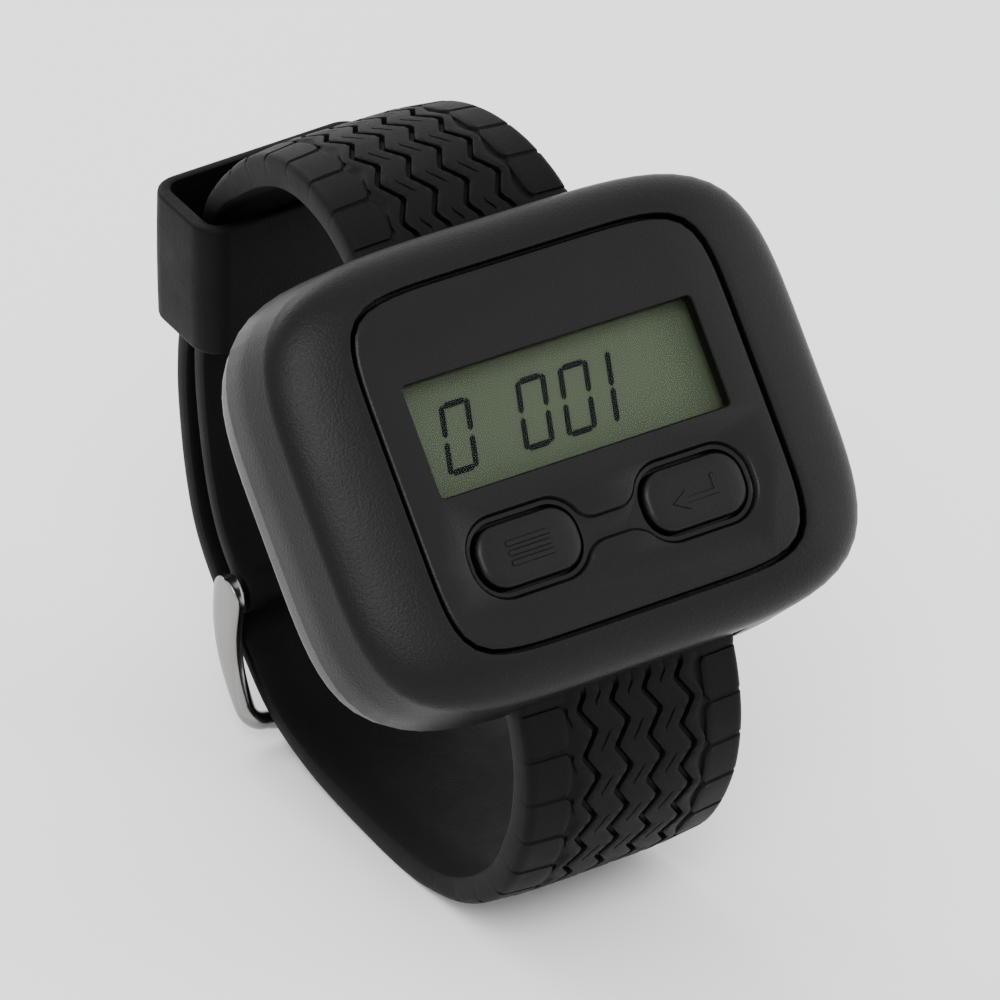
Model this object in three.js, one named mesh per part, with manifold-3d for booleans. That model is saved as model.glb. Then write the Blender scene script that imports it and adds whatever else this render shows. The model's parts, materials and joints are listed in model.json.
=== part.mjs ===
// A wrist pager buckled into a closed loop and standing on its strap, with its face leaning back.
// Millimetres. +X is to the wearer's right, +Y is back, +Z is up; the origin is under the middle, on the table.
import * as THREE from "three";
import { mergeVertices } from "three/addons/utils/BufferGeometryUtils.js";
import Module from "manifold-3d";

const wasm = await Module();
wasm.setup();

// ---- Driving dimensions -------------------------------------------------------------------------

const GAP = 0.3; // between neighbours that would touch
const HALF_TURN = Math.PI;
const QUARTER_TURN = Math.PI / 2;
const DEGREE = Math.PI / 180;

// The loop: a side view is drawn in (y, z) from the middle of the display, then moved to the origin.
const LOOP_BACK = 19.3;
const LOOP_DROP = 49.9; // height of the middle of the display over the table

// Case, in face coordinates: x right, y up the face, z out of it, from the middle of the panel.
const FACE_TILT = 51 * DEGREE; // turned up from lying flat
const FACE = { y: -1.98, z: -2.44 };
const RIM = { x: 26.3, y: 20.3, z: -9.3 };
const SHOULDER = { x: 25.5, y: 20.0, z: -3.2 };
const BROW = { x: 18.3, y: 16.1, z: 0.15 };
const CASE_POWER = 4.5; // exponent of the superellipse that the case's outline follows
const PANEL_POWER = 7;
const CROWN = [[0, 0], [0, 0.38], [0.42, 0.86], [1, 1]]; // Bezier from shoulder to brow, as [inset, rise]
const WALL = 1.9;
const LEDGE = { x: 15.8, y: 13.6, top: -1.6, bottom: -2.9 };
const HOLLOW = { x: 20.6, y: 15.6, bend: -4.8 }; // inside of the front shell, under the ledge
const BACK = { top: -9.6, floor: -12.2, bottom: -13.5, inset: 4.0 };
const BACK_EDGE = [[3.0, 0], [1.5, 0.6], [0.6, 2.1], [0.3, 3.9]]; // [inset from the rim, rise from the bottom]
const SEAM_LIP = { x: 23.8, y: 17.9, thick: 1.0, low: -10.9, top: -8.7 }; // stands up inside the front shell

// Panel, display and buttons.
const PANEL = { x: 17.8, y: 15.6, thick: 1.3 };
const DISPLAY = { y: 3.14, width: 29.1, height: 9.9, radius: 0.5 };
const BUTTON = { x: 8.4, y: -7.9, width: 10.0, height: 5.55, radius: 2.4 };
const BUTTON_GAP = 0.32;
const BUTTON_CAP = { round: 0.35, low: -2.2, depth: 1.95 };
const BUTTON_FLANGE = { margin: 0.6, low: -2.45, high: -1.85 };
const BUTTON_STEM = { radius: 1.0, low: -4.2, high: -2.0 };
const GOGGLE = { margin: 0.75, depth: 0.6, waist: 1.95, waistY: -8.15 };
const LENS = { width: 31.1, height: 11.9, thick: 0.7, radius: 0.6 };
const GLASS = { width: 30.6, height: 12.0, thick: 1.7, top: -2.6, radius: 0.3 };
const GLASS_FRAME = { wall: 1.1, below: 1.1, above: 0.2, radius: 0.8 };
const ZEBRA = { half: 13, halfWidth: 0.8, inset: 1.1 };
const BOARD = { x: 22, y: 13.9, top: -6.5, thick: 0.8, radius: 4 };
const ON_BOARD = 0.1; // clearance under a part that sits on the board
const SWITCH = { side: 4.6, thick: 1.3, plunger: 0.9, well: 0.75, plungerTop: -4.3 };
const CHIP = { thick: 1.1, controller: [[-3.6, -11.6], [3.6, -4.9]], receiver: [[-20.6, -3.2], [-17.4, 5.2]] };
const CRYSTAL = { radius: 1.0, from: -12.4, to: -6.6, x: 14.4, rise: 1.15 };
const ANTENNA = { core: 0.9, half: 13, y: 12.3, rise: 1.9, winding: 1.45, bore: 1.0, windingHalf: 8 };
const CELL = { radius: 11.5, thick: 3.0, top: -8.6, step: 0.5, cap: 1.6 };
const CONTACT = { thick: 0.25, half: 1.6, clear: 0.15, flat: [-7, -3.5], pad: [1.5, 5], crank: 0.1 };
const SOUNDER = { x: 17.3, radius: 4.6, low: -10.9, high: -7.6, port: 0.9, portDepth: 0.6 };
const MOTOR = { x: -17.2, z: -9.8, radius: 2.0, from: -7, to: 3.6, boreFrom: -5, boreGap: 0.25 };
const WEIGHT = { axle: 0.4, axleFrom: -4.6, axleTo: 7.6, radius: 1.8, from: 4.2, to: 7.4, missing: 0.2 };
const HATCH = { radius: 12.6, rim: 13.6, flange: 0.3, slotHalf: 5.5, slotHalfWidth: 0.8, slotDepth: 0.7 };
const BOSS = { x: 18.1, y: 12.1, radius: 1.9, bore: 1.15, clear: 0.5, notch: 0.4 };
const SCREW = { shaft: 0.8, head: 1.65, headThick: 0.9, tip: -6.6, sunk: 0.1, sink: 0.25 };
const SCREW_SLOT = [1, 0.22]; // half sizes of one stroke of the cross

// Strap, lugs and buckle.
const LUG = { y: 18.1, z: -7.5, gap: 22.8, pocket: 15.8, wall: 1.4, roof: -5.0, bore: 1.2 };
const SPRING_BAR = { radius: 0.75, bore: 1.05, length: 24.8, tip: 0.45, tipLength: 1 };
const STRAP = { lugWidth: 22, tailWidth: 18, barrel: 1.9, lugThick: 3.3, tailThick: 2.05 };
const BUCKLE = { y: 39.1, z: -36.0, inside: 9.6, armThick: 1.2, eye: 2.1, toe: 1.0, barRadius: 0.85 };
const BAR_BOW = 1.7; // how far the buckle's bar bows out
const TONGUE = { radius: 0.6, eye: 1.75, width: 2.4 };
const HOLE = { pitch: 6.5, length: 3.2, width: 2.0, used: 4.8, under: 2, over: 4 };
const TONGUE_AT = 0.652; // share of the tail's length at which the tongue passes through
const KEEPER = { y: 45.75, z: -5.4, half: 10.9, depth: 10.2, height: 13.2, wall: 1.0, side: 1.3 };
const KEEPER_RADIUS = 2.6;
const KEEPER_LEAN = { tilt: 5 * DEGREE, roll: 2 * DEGREE };

// ---- Solids -------------------------------------------------------------------------------------

function solid(geometry) {
  const bare = geometry.clone();
  bare.deleteAttribute("normal");
  bare.deleteAttribute("uv");
  const merged = mergeVertices(bare, 1e-4);
  const triVerts = new Uint32Array(merged.index.array);
  const vertProperties = new Float32Array(merged.attributes.position.array);
  return new wasm.Manifold(new wasm.Mesh({ numProp: 3, vertProperties, triVerts }));
}

function geometryOf(made) {
  const { vertProperties, triVerts, numProp } = made.getMesh();
  const positions = new Float32Array((vertProperties.length / numProp) * 3);
  for (let i = 0; i < positions.length / 3; i += 1) {
    positions.set(vertProperties.subarray(i * numProp, i * numProp + 3), i * 3);
  }
  const geometry = new THREE.BufferGeometry();
  geometry.setAttribute("position", new THREE.BufferAttribute(positions, 3));
  geometry.setIndex(new THREE.BufferAttribute(triVerts, 1));
  geometry.computeVertexNormals();
  return geometry;
}

const join = (...parts) => parts.reduce((whole, part) => whole.add(part));
const cut = (whole, ...tools) => tools.reduce((rest, tool) => rest.subtract(tool), whole);

function superellipse(halfX, halfY, power, count) {
  const points = [];
  for (let i = 0; i < count; i += 1) {
    const turn = (2 * Math.PI * i) / count;
    const reach = (value) => Math.sign(value) * Math.abs(value) ** (2 / power);
    points.push(new THREE.Vector2(halfX * reach(Math.cos(turn)), halfY * reach(Math.sin(turn))));
  }
  return points;
}

// Stacks superellipses, lowest first, into one closed body. A section is { x, y, z, power }.
function stack(sections, count = 48) {
  const rings = sections.map(({ x, y, power }) => superellipse(x, y, power, count));
  const positions = [];
  rings.forEach((ring, level) => ring.forEach((p) => positions.push(p.x, p.y, sections[level].z)));
  const bottom = positions.length / 3;
  positions.push(0, 0, sections[0].z);
  positions.push(0, 0, sections.at(-1).z);
  const index = [];
  for (let i = 0; i < count; i += 1) {
    const next = (i + 1) % count;
    for (let level = 0; level + 1 < rings.length; level += 1) {
      const low = level * count;
      const high = low + count;
      index.push(low + i, low + next, high + next);
      index.push(low + i, high + next, high + i);
    }
    const last = (rings.length - 1) * count;
    index.push(bottom, next, i);
    index.push(bottom + 1, last + i, last + next);
  }
  const geometry = new THREE.BufferGeometry();
  geometry.setAttribute("position", new THREE.Float32BufferAttribute(positions, 3));
  geometry.setIndex(index);
  return solid(geometry);
}

function plate(shape, low, high, curveSegments = 5) {
  const geometry = new THREE.ExtrudeGeometry(shape, { depth: high - low, bevelEnabled: false, curveSegments });
  return solid(geometry.translate(0, 0, low));
}

function roundedRectangle(width, height, radius, x = 0, y = 0) {
  const [w, h] = [width / 2, height / 2];
  const shape = new THREE.Shape();
  shape.moveTo(x - w + radius, y - h);
  shape.lineTo(x + w - radius, y - h);
  shape.absarc(x + w - radius, y - h + radius, radius, -QUARTER_TURN, 0);
  shape.lineTo(x + w, y + h - radius);
  shape.absarc(x + w - radius, y + h - radius, radius, 0, QUARTER_TURN);
  shape.lineTo(x - w + radius, y + h);
  shape.absarc(x - w + radius, y + h - radius, radius, QUARTER_TURN, HALF_TURN);
  shape.lineTo(x - w, y - h + radius);
  shape.absarc(x - w + radius, y - h + radius, radius, HALF_TURN, 3 * QUARTER_TURN);
  return shape;
}

function box(low, high) {
  const size = high.map((value, axis) => value - low[axis]);
  const middle = high.map((value, axis) => (value + low[axis]) / 2);
  return solid(new THREE.BoxGeometry(...size).translate(...middle));
}

// A round bar between two heights; "x" and "y" bars lie along that axis instead.
function rod(radius, low, high, { x = 0, y = 0, z = 0, axis = "z", sides = 24 } = {}) {
  const geometry = new THREE.CylinderGeometry(radius, radius, high - low, sides);
  geometry.translate(0, (low + high) / 2, 0);
  if (axis === "z") geometry.rotateX(QUARTER_TURN);
  if (axis === "x") geometry.rotateZ(-QUARTER_TURN);
  return solid(geometry.translate(x, y, z));
}

// The side view of a band: a curve in (y, z) thickened by half(share of the length), pushed out along X.
function band(points, half, from, to, steps) {
  const curve = new THREE.SplineCurve(points.map(([y, z]) => new THREE.Vector2(y, z)));
  const outer = [];
  const inner = [];
  for (let i = 0; i <= steps; i += 1) {
    const share = i / steps;
    const middle = curve.getPointAt(share);
    const along = curve.getTangentAt(share);
    const side = new THREE.Vector2(-along.y, along.x).multiplyScalar(half(share));
    outer.push(middle.clone().add(side));
    inner.unshift(middle.clone().sub(side));
  }
  return acrossX(new THREE.Shape([...outer, ...inner]), from, to);
}

// Extrudes a shape drawn in (y, z) from one x to another.
function acrossX(shape, from, to, curveSegments = 10) {
  const geometry = new THREE.ExtrudeGeometry(shape, { depth: to - from, bevelEnabled: false, curveSegments });
  geometry.applyMatrix4(new THREE.Matrix4().set(0, 0, 1, from, 1, 0, 0, 0, 0, 1, 0, 0, 0, 0, 0, 1));
  return solid(geometry);
}

// ---- Groups and nodes ---------------------------------------------------------------------------

const pager = new THREE.Group();
const loop = new THREE.Group();
loop.position.set(0, -LOOP_BACK, LOOP_DROP);
const face = new THREE.Group();
face.position.set(0, FACE.y, FACE.z);
face.rotation.x = FACE_TILT;
loop.add(face);
pager.add(loop);

const FINISH = {
  caseBlack: { color: 0x2c2d2f, roughness: 0.55, metalness: 0 },
  panelBlack: { color: 0x333436, roughness: 0.5, metalness: 0 },
  buttonBlack: { color: 0x3a3b3d, roughness: 0.6, metalness: 0 },
  clear: { color: 0xe8eee8, roughness: 0.05, metalness: 0 },
  liquidCrystal: { color: 0x687658, roughness: 0.35, metalness: 0 },
  paleMoulding: { color: 0xc9c6bb, roughness: 0.6, metalness: 0 },
  elastomer: { color: 0x8b3f42, roughness: 0.9, metalness: 0 },
  board: { color: 0x1f5a38, roughness: 0.5, metalness: 0 },
  chip: { color: 0x1b1b1d, roughness: 0.7, metalness: 0 },
  steel: { color: 0xd6d7d8, roughness: 0.18, metalness: 1 },
  brass: { color: 0xb49a52, roughness: 0.35, metalness: 1 },
  ferrite: { color: 0x26262a, roughness: 0.8, metalness: 0 },
  copper: { color: 0xa8602f, roughness: 0.4, metalness: 1 },
  rubber: { color: 0x242426, roughness: 0.8, metalness: 0 },
};

function add(group, name, made, finish) {
  const mesh = new THREE.Mesh(geometryOf(made), new THREE.MeshStandardMaterial(FINISH[finish]));
  mesh.name = name;
  group.add(mesh);
}

// ---- Case ---------------------------------------------------------------------------------------

// Calls make(x sign, y sign) for the four corners, in order round the case.
const corners = (make) => [[1, 1], [-1, 1], [-1, -1], [1, -1]].map(([sx, sy], i) => make(sx, sy, i));

// A block across one end of the case, from |y| = inner outwards.
function endBlock(sign, half, inner, low, high) {
  const reach = [sign * inner, sign * (RIM.y + 4)].sort((a, b) => a - b);
  return box([-half, reach[0], low], [half, reach[1], high]);
}

function lugPockets() {
  const half = LUG.gap / 2;
  return [1, -1].flatMap((sign) => {
    const place = { axis: "x", y: sign * LUG.y, z: LUG.z, sides: 16 };
    const bore = rod(SPRING_BAR.bore, -half - LUG.bore, half + LUG.bore, place);
    return [endBlock(sign, half, LUG.pocket, BACK.bottom - 1, LUG.roof), bore];
  });
}

// Leaves a wall of solid material round each lug pocket.
function withoutLugWalls(hollow) {
  const half = LUG.gap / 2 + LUG.wall;
  return cut(hollow, ...[1, -1].map((sign) => endBlock(sign, half, LUG.pocket - LUG.wall, -30, 5)));
}

function frontShell() {
  const sections = [{ x: RIM.x - 0.3, y: RIM.y - 0.3, z: RIM.z, power: CASE_POWER }];
  sections.push({ x: RIM.x, y: RIM.y, z: RIM.z + 0.3, power: CASE_POWER });
  const crown = new THREE.CubicBezierCurve(...CROWN.map(([inset, rise]) => new THREE.Vector2(inset, rise)));
  crown.getPoints(7).forEach(({ x: inset, y: rise }) => {
    const blend = (from, to, share) => from + (to - from) * share;
    sections.push({
      x: blend(SHOULDER.x, BROW.x, inset),
      y: blend(SHOULDER.y, BROW.y, inset),
      z: blend(SHOULDER.z, BROW.z, rise),
      power: blend(CASE_POWER, PANEL_POWER, inset),
    });
  });
  const hollow = stack([
    { x: RIM.x - WALL, y: RIM.y - WALL, z: RIM.z - 1, power: CASE_POWER },
    { x: SHOULDER.x - WALL, y: SHOULDER.y - WALL, z: HOLLOW.bend, power: CASE_POWER },
    { x: HOLLOW.x, y: HOLLOW.y, z: LEDGE.bottom, power: CASE_POWER },
  ], 40);
  const seat = stack([
    { x: BROW.x - 0.05, y: BROW.y - 0.05, z: LEDGE.top, power: PANEL_POWER },
    { x: BROW.x - 0.05, y: BROW.y - 0.05, z: 3, power: PANEL_POWER },
  ]);
  const opening = stack([
    { x: LEDGE.x, y: LEDGE.y, z: LEDGE.bottom - 1, power: PANEL_POWER },
    { x: LEDGE.x, y: LEDGE.y, z: LEDGE.top + 1, power: PANEL_POWER },
  ], 40);
  const shell = cut(stack(sections), withoutLugWalls(hollow), seat, opening, ...lugPockets());
  const bossEnd = BACK.floor + GAP;
  const place = (sx, sy) => ({ x: sx * BOSS.x, y: sy * BOSS.y });
  const bosses = corners((sx, sy) => rod(BOSS.radius, bossEnd, LEDGE.bottom + 0.6, place(sx, sy)));
  const bores = corners((sx, sy) => rod(BOSS.bore, bossEnd - 1, SCREW.tip + BOSS.clear, place(sx, sy)));
  return cut(join(shell, ...bosses), ...bores);
}

// Ring inside the seam between the shells; it stops short of the front shell's lug walls.
function seamLip() {
  const inset = (by, low, high) => [
    { x: SEAM_LIP.x - by, y: SEAM_LIP.y - by, z: low, power: CASE_POWER },
    { x: SEAM_LIP.x - by, y: SEAM_LIP.y - by, z: high, power: CASE_POWER },
  ];
  const outside = stack(inset(0, SEAM_LIP.low, SEAM_LIP.top));
  const inside = stack(inset(SEAM_LIP.thick, SEAM_LIP.low - 1, SEAM_LIP.top + 1));
  const half = LUG.gap / 2 + LUG.wall + GAP;
  const clear = [1, -1].map((sign) => endBlock(sign, half, LUG.pocket - LUG.wall - GAP, BACK.top, 0));
  return cut(outside, inside, ...clear);
}

function backShell() {
  const outside = stack(BACK_EDGE.map(([inset, rise]) => {
    return { x: RIM.x - inset, y: RIM.y - inset, z: BACK.bottom + rise, power: CASE_POWER };
  }));
  const hollow = stack([
    { x: RIM.x - BACK.inset, y: RIM.y - BACK.inset, z: BACK.floor, power: CASE_POWER },
    { x: RIM.x - WALL, y: RIM.y - WALL, z: BACK.top + 1, power: CASE_POWER },
  ], 40);
  const hatchHole = rod(HATCH.radius + GAP, BACK.bottom - 1, BACK.floor + 1, { sides: 48 });
  const hatchSeat = rod(HATCH.rim + GAP, BACK.floor - HATCH.flange - 0.2, BACK.floor + 1, { sides: 48 });
  const place = (sx, sy) => ({ x: sx * BOSS.x, y: sy * BOSS.y });
  const bores = corners((sx, sy) => rod(BOSS.bore, BACK.bottom - 1, BACK.floor + 1, place(sx, sy)));
  const sinkRoof = BACK.bottom + SCREW.headThick + 0.05;
  const sinks = corners((sx, sy) => rod(SCREW.head + SCREW.sink, BACK.bottom - 1, sinkRoof, place(sx, sy)));
  const shell = cut(join(cut(outside, withoutLugWalls(hollow)), seamLip()), ...lugPockets());
  return cut(shell, hatchHole, hatchSeat, ...bores, ...sinks);
}

// Round cover over the cell, with a coin slot, and a flange that turns under the shell's floor.
function batteryHatch() {
  const disc = rod(HATCH.radius, BACK.bottom, BACK.floor - HATCH.flange, { sides: 48 });
  const flange = rod(HATCH.rim, BACK.floor - HATCH.flange, BACK.floor + HATCH.flange, { sides: 48 });
  const [x, y] = [HATCH.slotHalf, HATCH.slotHalfWidth];
  const slot = box([-x, -y, BACK.bottom - 1], [x, y, BACK.bottom + HATCH.slotDepth]);
  return cut(join(disc, flange), slot);
}

function caseScrew(sx, sy) {
  const place = { x: sx * BOSS.x, y: sy * BOSS.y, sides: 16 };
  const slotRoof = BACK.bottom + 0.5;
  const head = rod(SCREW.head, BACK.bottom + SCREW.sunk, BACK.bottom + SCREW.headThick, place);
  const shaft = rod(SCREW.shaft, slotRoof, SCREW.tip, place);
  const [long, short] = SCREW_SLOT;
  const slots = [[long, short], [short, long]].map(([halfX, halfY]) =>
    box([place.x - halfX, place.y - halfY, BACK.bottom - 1], [place.x + halfX, place.y + halfY, slotRoof]),
  );
  return cut(join(head, shaft), ...slots);
}

// ---- Panel, buttons and display -----------------------------------------------------------------

const buttonOutline = (margin, x) =>
  roundedRectangle(BUTTON.width + 2 * margin, BUTTON.height + 2 * margin, BUTTON.radius + margin, x, BUTTON.y);

function facePanel() {
  const sections = [
    { x: PANEL.x, y: PANEL.y, z: -PANEL.thick, power: PANEL_POWER },
    { x: PANEL.x, y: PANEL.y, z: -0.25, power: PANEL_POWER },
    { x: PANEL.x - 0.25, y: PANEL.y - 0.25, z: 0, power: PANEL_POWER },
  ];
  const through = [-PANEL.thick - 1, 1];
  const opening = roundedRectangle(DISPLAY.width, DISPLAY.height, DISPLAY.radius, 0, DISPLAY.y);
  const window = plate(opening, ...through, 3);
  const recess = [
    plate(buttonOutline(GOGGLE.margin, -BUTTON.x), -GOGGLE.depth, 1),
    plate(buttonOutline(GOGGLE.margin, BUTTON.x), -GOGGLE.depth, 1),
    plate(roundedRectangle(2 * BUTTON.x, GOGGLE.waist, 0.4, 0, GOGGLE.waistY), -GOGGLE.depth, 1, 3),
  ];
  const holes = [-BUTTON.x, BUTTON.x].map((x) => plate(buttonOutline(BUTTON_GAP, x), ...through));
  return cut(stack(sections), window, ...recess, ...holes);
}

// Cap with a softened top edge, a flange under the panel and a stem over the switch.
function button(x) {
  const cap = new THREE.ExtrudeGeometry(buttonOutline(-BUTTON_CAP.round, x), {
    depth: BUTTON_CAP.depth,
    bevelThickness: BUTTON_CAP.round,
    bevelSize: BUTTON_CAP.round,
    bevelSegments: 2,
    curveSegments: 4,
  });
  cap.translate(0, 0, BUTTON_CAP.low);
  const flange = plate(buttonOutline(BUTTON_FLANGE.margin, x), BUTTON_FLANGE.low, BUTTON_FLANGE.high);
  const stem = rod(BUTTON_STEM.radius, BUTTON_STEM.low, BUTTON_STEM.high, { x, y: BUTTON.y, sides: 16 });
  return join(solid(cap), flange, stem);
}

const switchTop = BOARD.top + ON_BOARD + SWITCH.thick;

function switchBody(x) {
  const half = SWITCH.side / 2;
  const body = box([x - half, BUTTON.y - half, BOARD.top + ON_BOARD], [x + half, BUTTON.y + half, switchTop]);
  const well = rod(SWITCH.plunger + GAP, switchTop - SWITCH.well, switchTop + 1, { x, y: BUTTON.y, sides: 16 });
  return cut(body, well);
}

const switchPlunger = (x) =>
  rod(SWITCH.plunger, switchTop - 0.1, SWITCH.plungerTop, { x, y: BUTTON.y, sides: 16 });

const displayLens = () => {
  const top = LEDGE.top;
  return plate(roundedRectangle(LENS.width, LENS.height, LENS.radius, 0, DISPLAY.y), top - LENS.thick, top, 3);
};

const glassOutline = (margin, radius) =>
  roundedRectangle(GLASS.width + 2 * margin, GLASS.height + 2 * margin, radius, 0, DISPLAY.y);

const displayGlass = () => plate(glassOutline(0, GLASS.radius), GLASS.top - GLASS.thick, GLASS.top, 2);

function displayFrame() {
  const [low, high] = [GLASS.top - GLASS.thick - GLASS_FRAME.below, LEDGE.bottom - GLASS_FRAME.above];
  const outside = plate(glassOutline(GAP + GLASS_FRAME.wall, GLASS_FRAME.radius), low, high, 3);
  return cut(outside, plate(glassOutline(GAP, GLASS.radius), low - 1, high + 1, 2));
}

function zebraStrip(sign) {
  const y = DISPLAY.y + sign * (GLASS.height / 2 - ZEBRA.inset);
  const [low, high] = [BOARD.top + ON_BOARD, GLASS.top - GLASS.thick - ON_BOARD];
  return box([-ZEBRA.half, y - ZEBRA.halfWidth, low], [ZEBRA.half, y + ZEBRA.halfWidth, high]);
}

// ---- Electronics --------------------------------------------------------------------------------

function circuitBoard() {
  const outline = roundedRectangle(2 * BOARD.x, 2 * BOARD.y, BOARD.radius);
  const board = plate(outline, BOARD.top - BOARD.thick, BOARD.top, 4);
  const notches = corners((sx, sy) =>
    rod(BOSS.radius + BOSS.notch, BOARD.top - 2, BOARD.top + 1, { x: sx * BOSS.x, y: sy * BOSS.y }),
  );
  return cut(board, ...notches);
}

function chip([low, high]) {
  const foot = BOARD.top + ON_BOARD;
  return box([...low, foot], [...high, foot + CHIP.thick]);
}

function crystalCan() {
  const place = { axis: "y", x: CRYSTAL.x, z: BOARD.top + CRYSTAL.rise, sides: 16 };
  return rod(CRYSTAL.radius, CRYSTAL.from, CRYSTAL.to, place);
}

const antennaPlace = (sides) => ({ axis: "x", y: ANTENNA.y, z: BOARD.top + ANTENNA.rise, sides });
const ferriteRod = () => rod(ANTENNA.core, -ANTENNA.half, ANTENNA.half, antennaPlace(16));

function antennaWinding() {
  const half = ANTENNA.windingHalf;
  const place = antennaPlace(20);
  return cut(rod(ANTENNA.winding, -half, half, place), rod(ANTENNA.bore, -half - 1, half + 1, place));
}

const batteryCell = () => {
  const can = rod(CELL.radius, CELL.top - CELL.thick, CELL.top - CELL.step, { sides: 48 });
  return join(can, rod(CELL.radius - CELL.cap, CELL.top - CELL.step - 0.1, CELL.top, { sides: 48 }));
};

// A leaf of spring brass, cranked down from the board to the cell.
function batteryContact() {
  const [high, low] = [BOARD.top - BOARD.thick - CONTACT.clear, CELL.top + CONTACT.clear];
  const { thick, crank } = CONTACT;
  const [[flatFrom, flatTo], [padFrom, padTo]] = [CONTACT.flat, CONTACT.pad];
  const side = new THREE.Shape([
    new THREE.Vector2(flatFrom, high),
    new THREE.Vector2(flatTo, high),
    new THREE.Vector2(padFrom, low + thick),
    new THREE.Vector2(padTo, low + thick),
    new THREE.Vector2(padTo, low),
    new THREE.Vector2(padFrom - crank, low),
    new THREE.Vector2(flatTo - crank, high - thick),
    new THREE.Vector2(flatFrom, high - thick),
  ]);
  return acrossX(side, -CONTACT.half, CONTACT.half);
}

function sounderCan() {
  const can = rod(SOUNDER.radius, SOUNDER.low, SOUNDER.high, { x: SOUNDER.x, sides: 32 });
  const port = rod(SOUNDER.port, SOUNDER.low - 1, SOUNDER.low + SOUNDER.portDepth, { x: SOUNDER.x, sides: 12 });
  return cut(can, port);
}

function motorCan() {
  const place = { axis: "y", x: MOTOR.x, z: MOTOR.z };
  const bore = rod(WEIGHT.axle + MOTOR.boreGap, MOTOR.boreFrom, MOTOR.to + 1, { ...place, sides: 12 });
  return cut(rod(MOTOR.radius, MOTOR.from, MOTOR.to, place), bore);
}

// Half-round weight on its axle; it turns in the motor's bore.
function motorWeight() {
  const place = { axis: "y", x: MOTOR.x, z: MOTOR.z };
  const axle = rod(WEIGHT.axle, WEIGHT.axleFrom, WEIGHT.axleTo, { ...place, sides: 12 });
  const slug = rod(WEIGHT.radius, WEIGHT.from, WEIGHT.to, place);
  const [reach, level] = [WEIGHT.radius + 1, MOTOR.z + WEIGHT.missing];
  const [from, to] = [WEIGHT.from - 1, WEIGHT.to + 1];
  const missing = box([MOTOR.x - reach, from, level], [MOTOR.x + reach, to, level + reach]);
  return join(cut(slug, missing), axle);
}

// ---- Strap --------------------------------------------------------------------------------------

// A place on the case's side view, seen in the loop's own (y, z).
function onFace(y, z) {
  const [c, s] = [Math.cos(FACE_TILT), Math.sin(FACE_TILT)];
  return [FACE.y + y * c - z * s, FACE.z + y * s + z * c];
}

const UPPER_LUG = onFace(LUG.y, LUG.z);
const LOWER_LUG = onFace(-LUG.y, LUG.z);
const BUCKLE_PIN = [BUCKLE.y, BUCKLE.z];

// Over the top of the wrist, then down the inside of the back to the buckle.
const BUCKLE_HALF = [
  UPPER_LUG,
  [18.0, 9.2],
  [22.4, 10.9],
  [27.8, 11.2],
  [33.2, 9.6],
  [38.4, 6.2],
  [43.0, 1.5],
  [44.6, -5.6],
  [45.6, -12.5],
  [45.65, -19.0],
  [44.5, -26.3],
  [42.5, -31.7],
  BUCKLE_PIN,
];

// Down the front, under the wrist, inside the buckle's bar, out over its pin and up into the keeper.
const TAIL_HALF = [
  LOWER_LUG,
  [-9.1, -25.6],
  [-9.7, -30.5],
  [-8.6, -36.2],
  [-5.1, -42.2],
  [1.7, -46.9],
  [9.4, -48.65],
  [18.7, -48.7],
  [27.8, -47.8],
  [34.9, -45.3],
  [41.0, -39.8],
  [45.7, -34.2],
  [47.8, -28.5],
  [48.8, -21.0],
  [48.7, -16.0],
  [48.0, -11.5],
  [47.35, -3.4],
];

// Half the strap's thickness: full near the lugs, thinner where two layers lie in the keeper.
function strapHalf(share, thinFrom, thinTo) {
  const eased = THREE.MathUtils.smoothstep(share, thinFrom, thinTo);
  return THREE.MathUtils.lerp(STRAP.lugThick, STRAP.tailThick, eased) / 2;
}

// A wedge in plan that narrows from the lug width to the tail width between two y values.
function taper(from, to) {
  const [wide, narrow] = [STRAP.lugWidth / 2, STRAP.tailWidth / 2];
  const plan = new THREE.Shape([
    new THREE.Vector2(-wide, from - 20),
    new THREE.Vector2(wide, from - 20),
    new THREE.Vector2(wide, from),
    new THREE.Vector2(narrow, to),
    new THREE.Vector2(narrow, to + 20),
    new THREE.Vector2(-narrow, to + 20),
    new THREE.Vector2(-narrow, to),
    new THREE.Vector2(-wide, from),
  ]);
  return plate(plan, -80, 40);
}

const barrelOn = ([y, z], half) => rod(STRAP.barrel, -half, half, { axis: "x", y, z });
const boreOn = ([y, z], sides = 16) => rod(SPRING_BAR.bore, -20, 20, { axis: "x", y, z, sides });

function strapBuckleHalf() {
  const half = STRAP.lugWidth / 2;
  const strip = band(BUCKLE_HALF, (share) => strapHalf(share, 0.3, 0.5), -half, half, 44);
  const narrow = STRAP.tailWidth / 2;
  const whole = join(strip, barrelOn(UPPER_LUG, half), barrelOn(BUCKLE_PIN, narrow));
  const [y, z] = BUCKLE_PIN;
  const fork = box([-1.7, y - 2.8, z - 2.8], [1.7, y + 2.9, z + 2.6]);
  return cut(whole.intersect(taper(15, 40)), boreOn(UPPER_LUG), boreOn(BUCKLE_PIN), fork);
}

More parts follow.
